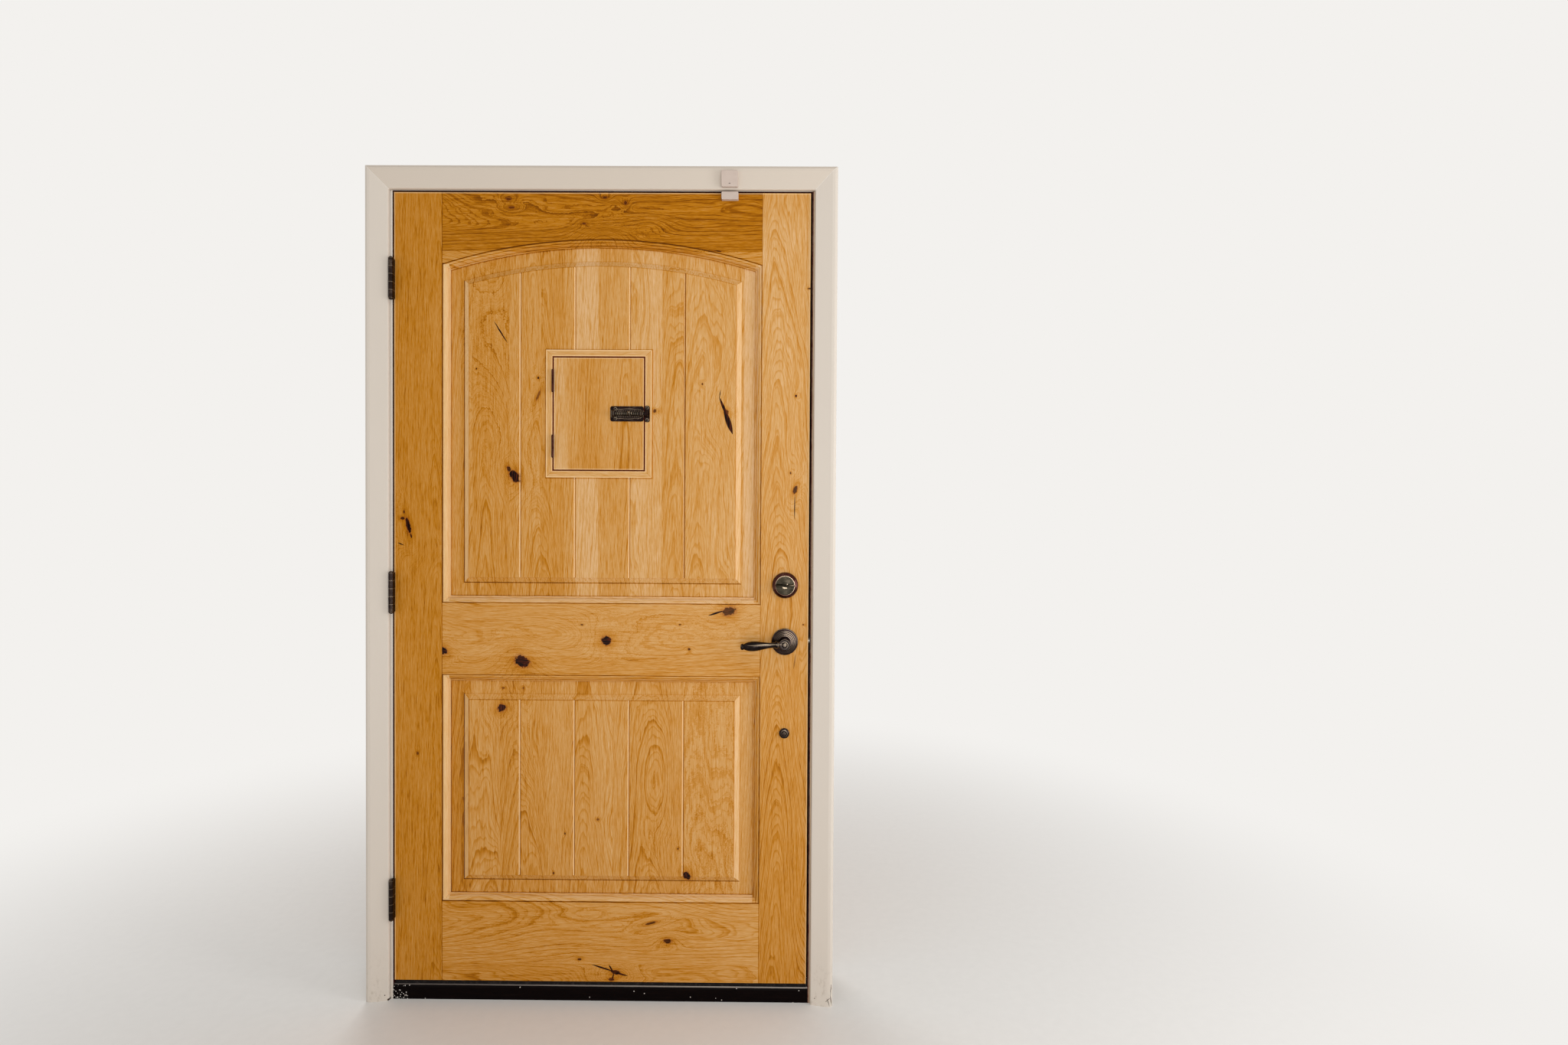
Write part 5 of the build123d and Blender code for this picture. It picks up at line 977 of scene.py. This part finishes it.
# The ribs on the plate and the bolt are painted as lit crests, and the screw rings are painted
# highlights.
bronze("iron_hatch_bolt_plate", "hatch_bolt_plate", warm_tone=0.12, rough=0.32, tint=screen(34, 14, 10),
       ribs=(RIB_PITCH, 0.50, RIB_REACH), rings=screw_rings(PLATE_SCREWS, PLATE_RISE))
bronze("iron_hatch_keeper", "hatch_bolt_keeper", warm_tone=0.12, rough=0.32, tint=screen(34, 14, 10),
       rings=screw_rings(KEEPER_SCREWS, KEEPER_RISE))
# The bright spot on the bolt's knob is a painted highlight.
bronze("iron_ribbed_bolt", "hatch_bolt", warm_tone=0.16, rough=0.34, tint=screen(26, 20, 14),
       ribs=(RIB_PITCH, 0.80, RIB_REACH), rubbed=[(0.0735, -0.0750, 1.5205, 0.0030, 0.85)])
print("iron on the hatch")

# %% [markdown]
# Steel, seals, sill and sensor. These are small in the picture, yet each has its own finish: zinc
# plate with a faint swirl, black rubber with dust, a dark sill whose edge is pale with wear and a
# painted highlight that grows toward the right, specks of the painter's white at its left end, and
# a matt white plastic sensor.

# %% Steel and rubber
steel = Finish("zinc_plated_steel")
swirl = steel.noise(scale=220.0, detail=4.0, rough=0.7)
steel.set(Base_Color=steel.mix(swirl, screen(150, 146, 138), screen(198, 194, 184)), Metallic=1.0,
          Roughness=0.24 + swirl * 0.2)
steel.bump(swirl, depth=0.00005)
dress(steel, "latch_bolt", "deadbolt", "latch_case", "deadbolt_case", "grip_bolt", "lever_spindle",
      "deadbolt_tailpiece")

rubber = Finish("black_seal_rubber")
dust = rubber.noise(scale=140.0, detail=4.0, rough=0.7)
rubber.set(Base_Color=rubber.mix(dust.rise(0.45, 0.85), screen(20, 17, 17), screen(62, 54, 50)),
           Roughness=0.55 + dust * 0.25, Specular_IOR_Level=0.1)
rubber.bump(dust, depth=0.0001)
dress(rubber, "weatherstrip_left", "weatherstrip_right", "weatherstrip_head", "door_sweep")
print("steel and rubber ready")

# %% Sill and sensor
skin = Finish("dark_sill")
scuff = skin.noise(skin.x * 14.0, skin.y * 120.0, skin.z * 120.0, detail=4.0, rough=0.7)
cells = {"Vector": skin.place, "Scale": 260.0}
flakes = skin.node("TexVoronoi", values=cells, out="Distance")
which = skin.node("TexVoronoi", values=cells, out="Color")
chance = skin.node("SeparateColor", values={0: which})
left_end = skin.x.fall(-0.515, -0.486)
specks = flakes.fall(0.30, 0.42) * (left_end * 0.42 + 0.004).do("GREATER_THAN", chance)
black = skin.mix(scuff.rise(0.45, 0.8), screen(5, 1, 1), screen(16, 6, 5))
skin.set(Base_Color=skin.mix(specks, black, screen(214, 208, 200)), Roughness=0.34 + scuff * 0.25,
         Specular_IOR_Level=0.05)
skin.bump(specks * 1.5 + scuff * 0.3, depth=0.00025)
dress(skin, "sill")

edge = Finish("sill_edge_wear_and_highlight")
edge_noise = edge.noise(edge.x * 22.0, edge.y * 200.0, edge.z * 200.0, detail=4.0, rough=0.7)
# The sill's edge grows brighter toward the right as a painted highlight, over noise that stands for
# wear.
bright = edge.x.rise(-0.55, 0.30) * 0.6 + edge_noise * 0.35
edge.set(Base_Color=edge.mix(bright, screen(62, 54, 52), screen(176, 168, 160)), Metallic=0.75,
         Roughness=0.36 + edge_noise * 0.2)
edge.bump(edge_noise, depth=0.0001)
dress(edge, "sill_cap")

shell = Finish("white_sensor_shell")
matt = shell.noise(scale=1500.0)
cast = shell.mix(shell.noise(scale=60.0), screen(188, 170, 158), screen(202, 186, 174))
lens = length((shell.x - 0.3270) * 0.4, shell.z - 2.0975).fall(0.0008, 0.0012)
shell.set(Base_Color=shell.mix(lens, cast, screen(90, 76, 68)), Roughness=0.5)
shell.bump(matt, depth=0.00005)
dress(shell, "sensor_body", "sensor_magnet")
print("sill and sensor ready")

# %% [markdown]
# Screws. A head could be a turned solid with a cross cut out of it, but a cut leaves slivers that
# shade badly. Here it is one grid: radius goes one way and the angle the other, and the height of
# each point is the dome minus the cross-shaped dip. All the screws of one body are one mesh.

# %% Screw heads as a grid
def grid_faces(rows, columns):
    """Four-sided faces of a grid that closes on itself along its columns."""
    row, column = np.meshgrid(np.arange(rows - 1), np.arange(columns), indexing="ij")
    near = row * columns + column
    beside = row * columns + (column + 1) % columns
    return np.stack([near, beside, beside + columns, near + columns], axis=-1).reshape(-1, 4)


def mesh_piece(name, points, faces, finish):
    """A smooth mesh object from points and faces, dressed in a finish."""
    data = bpy.data.meshes.new(name)
    data.from_pydata(points.tolist(), [], faces)
    data.validate()
    data.polygons.foreach_set("use_smooth", np.full(len(data.polygons), True))
    data.materials.append(finish.material)
    piece = bpy.data.objects.new(name, data)
    bpy.context.scene.collection.objects.link(piece)
    return piece


def metal_piece(name, points, faces, finish, body):
    """A mesh piece of the hardware, riding on a CAD body."""
    piece = mesh_piece(name, points, faces, finish)
    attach(piece, body)


HEAD_SIDES, HEAD_RINGS = 40, 14
CROSS_ARM, CROSS_REACH, CROSS_DEPTH = 0.13, 0.66, 0.55


def screw_head(radius, dome):
    """Points of one head, facing +Z at the origin, and then its middle. The height is dome
    (1 - r^2), less a dip of about half the radius where the point lies in either arm of the
    cross and within two thirds of the rim. The last ring goes down behind the plate, so the head
    has a closed edge."""
    r = np.linspace(0.02, 1.0, HEAD_RINGS)[:, None]
    angle = np.linspace(0, 2 * np.pi, HEAD_SIDES, endpoint=False)[None, :]
    x, y = r * np.cos(angle), r * np.sin(angle)
    in_arm = (CROSS_ARM - np.minimum(np.abs(x), np.abs(y))) / (0.4 * CROSS_ARM)
    dip = np.clip(in_arm, 0, 1) * np.clip((CROSS_REACH - r) / 0.10, 0, 1)
    z = dome * (1 - r ** 2) - CROSS_DEPTH * radius * dip
    x, y = x * radius, y * radius
    skirt = np.stack([x[-1], y[-1], np.full(HEAD_SIDES, -0.25 * radius)], axis=-1)
    tip = np.array([[0, 0, dome - CROSS_DEPTH * radius]])
    return np.concatenate([np.stack([x, y, z], axis=-1).reshape(-1, 3), skirt, tip])


def screws(name, heads, finish, body):
    """Heads at (place, facing, radius, turn): each is turned about its axis, laid to face its
    way, moved, and all are joined. A fan of triangles closes the middle."""
    points, faces = [], []
    start = 0
    for place, facing, radius, turned in heads:
        spin = Matrix.Rotation(math.radians(turned), 3, "Z")
        lay = Vector(facing).to_track_quat("Z", "Y").to_matrix()
        head = screw_head(radius, radius * 0.10) @ np.array(lay @ spin).T + np.array(place)
        points.append(head)
        middle = np.full(HEAD_SIDES, start + len(head) - 1)
        ring = start + np.arange(HEAD_SIDES)
        faces.extend((grid_faces(HEAD_RINGS + 1, HEAD_SIDES) + start).tolist())
        faces.extend(np.stack([middle, ring, np.roll(ring, -1)], axis=-1).tolist())
        start += len(head)
    metal_piece(name, np.concatenate(points), faces, finish, body)


print("screw heads ready")

# %% [markdown]
# The screws that show: two on the hatch bolt's plate and two on its keeper, four on each hinge
# leaf, two on each strike and faceplate, and one at each corner of the grille. Each head is given
# a turn of its own, because a fitter never leaves all the crosses in line.

# %% Screws where they show
TO_ROOM, TO_PORCH, TO_LATCH, TO_HINGES = (0, -1, 0), (0, 1, 0), (1, 0, 0), (-1, 0, 0)
SLAB_EDGE, JAMB_EDGE = 0.5335, 0.5375
LOCK_Y = -0.0361
plate_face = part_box("hatch_bolt_plate")[1][1] - 0.0016
grille_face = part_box("hatch_grille")[0][1] + 0.005

rubbed_heads = bronze("iron_rubbed_screws", warm_tone=0.45, rough=0.30, tint=screen(60, 48, 40))
for name, body, x, rise, turns in (
        ("hatch_bolt_plate_screws", "hatch_leaf", PLATE_SCREWS, PLATE_RISE, (20, 65)),
        ("hatch_keeper_screws", "door", KEEPER_SCREWS, KEEPER_RISE, (10, 50))):
    heads = [((x, plate_face, HATCH_BOLT + step), TO_ROOM, 0.0030, turned)
             for step, turned in zip((rise, -rise), turns)]
    screws(name, heads, rubbed_heads, body)

for where, low in HINGES:
    spots = [(-0.0500, low + 0.0130), (-0.0320, low + 0.0370),
             (-0.0320, low + 0.0646), (-0.0500, low + 0.0886)]
    jamb_heads = [((-JAMB_EDGE, y, z), TO_LATCH, 0.0042, 900 * z) for y, z in spots]
    door_heads = [((-SLAB_EDGE, y, z), TO_HINGES, 0.0042, 700 * z) for y, z in spots]
    screws(f"{where}_hinge_jamb_screws", jamb_heads, pins, "frame")
    screws(f"{where}_hinge_door_screws", door_heads, pins, "door")

for name, body, x, facing, finish, turn_by in (
        ("strike_screws", "frame", JAMB_EDGE, TO_HINGES, outside, 800),
        ("faceplate_screws", "door", SLAB_EDGE, TO_LATCH, steel, 900)):
    heads = [((x, LOCK_Y, z + rise), facing, 0.0034, turn_by * rise)
             for z in (LEVER_Z, DEADBOLT_Z) for rise in (-0.0215, 0.0215)]
    screws(name, heads, finish, body)
grille_heads = [((x, grille_face, z), TO_PORCH, 0.0055, 500 * x)
                for x in (-0.1272, 0.1112) for z in (1.3715, 1.6655)]
screws("grille_screws", grille_heads, iron, "door")
print("screws on the hatch, hinges, strikes, faceplates and grille")

# %% [markdown]
# The hatch bolt's plate has a raised, scalloped border. Displacing the plate would need a very
# fine mesh. A border is a round bead carried along a path instead: the path is a rounded
# rectangle whose distance from the middle swells and sinks like a row of arches.

# %% A bead along a closed path
BEAD_STEPS, BEAD_SIDES = 360, 10
BEAD_RADIUS = 0.0007
SQUARENESS = 0.4
WAVES, SWELL = 8, 0.0012


def bead(name, centre, half_width, half_height, finish, body):
    """A closed bead on a plate that faces the room. The path is a superellipse: with c and s the
    cosine and sine of t, x is c |c|^-0.6 times the half width less swell |sin(waves t)|, and z
    is the same with s and the half height. Round each point lies a circle that spans the
    outward way and the way to the room."""
    t = np.linspace(0, 2 * np.pi, BEAD_STEPS, endpoint=False)
    c, s = np.cos(t), np.sin(t)
    dip = SWELL * np.abs(np.sin(WAVES * t))
    x = np.sign(c) * np.abs(c) ** SQUARENESS * (half_width - dip)
    z = np.sign(s) * np.abs(s) ** SQUARENESS * (half_height - dip)
    out = np.stack([x / half_width, z / half_height])
    out = out / np.linalg.norm(out, axis=0)
    around = np.linspace(0, 2 * np.pi, BEAD_SIDES, endpoint=False)
    reach, lift = BEAD_RADIUS * np.cos(around), BEAD_RADIUS * np.sin(around)
    points = np.stack([centre[0] + x[:, None] + out[0][:, None] * reach,
                       centre[1] - lift + 0 * x[:, None],
                       centre[2] + z[:, None] + out[1][:, None] * reach], axis=-1).reshape(-1, 3)
    faces = grid_faces(BEAD_STEPS + 1, BEAD_SIDES) % (BEAD_STEPS * BEAD_SIDES)
    metal_piece(name, points, faces.tolist(), finish, body)
    print(name, len(faces), "faces")


# The bead takes the pale rubbed tone in full: wear on a raised edge and a painted highlight.
edge_metal = bronze("iron_border", warm_tone=1.0, rough=0.30, tint=screen(168, 150, 126))
bead("hatch_bolt_border", (0.0672, plate_face, HATCH_BOLT), 0.0370, 0.0128, edge_metal,
     "hatch_leaf")

# %% [markdown]
# The floor. The door stands free, as a part would on a studio floor. A wall behind it would hide
# the frame's back in other views, so there is only a wide disc. It is matt near the door, to hold
# the shadow, and fades to the background's own tone far out, so that no edge shows.

# %% Floor
FLOOR_SIDES, FLOOR_RINGS = 96, 12
angle = np.linspace(0, 2 * np.pi, FLOOR_SIDES, endpoint=False)
radii = np.concatenate([[0.0], np.geomspace(0.5, 14.0, FLOOR_RINGS)])[:, None]
rings = np.stack([radii * np.cos(angle), radii * np.sin(angle), 0 * radii * angle], axis=-1)

ground = Finish("studio_floor")
speckle = ground.noise(scale=40.0, detail=3.0)
ground.set(Base_Color=ground.mix(speckle, screen(226, 223, 219), screen(232, 229, 225)),
           Roughness=0.85)
glow = ground.node("Emission", values={"Color": SKY})
away = length(ground.x, ground.y).rise(0.75, 2.9)
joined = ground.node("MixShader", values={0: away, 2: glow})
ground.tree.links.new(ground.shader.outputs[0], joined.socket.node.inputs[1])
ground.tree.links.new(joined.socket, ground.out.inputs["Surface"])

floor_faces = grid_faces(FLOOR_RINGS + 1, FLOOR_SIDES).tolist()
floor = mesh_piece("floor", rings.reshape(-1, 3), floor_faces, ground)
print("floor", len(floor.data.polygons), "faces")

# %% [markdown]
# Last, the picture keeps plain settings.

# %% Finish
bpy.context.scene.view_settings.view_transform = "Standard"
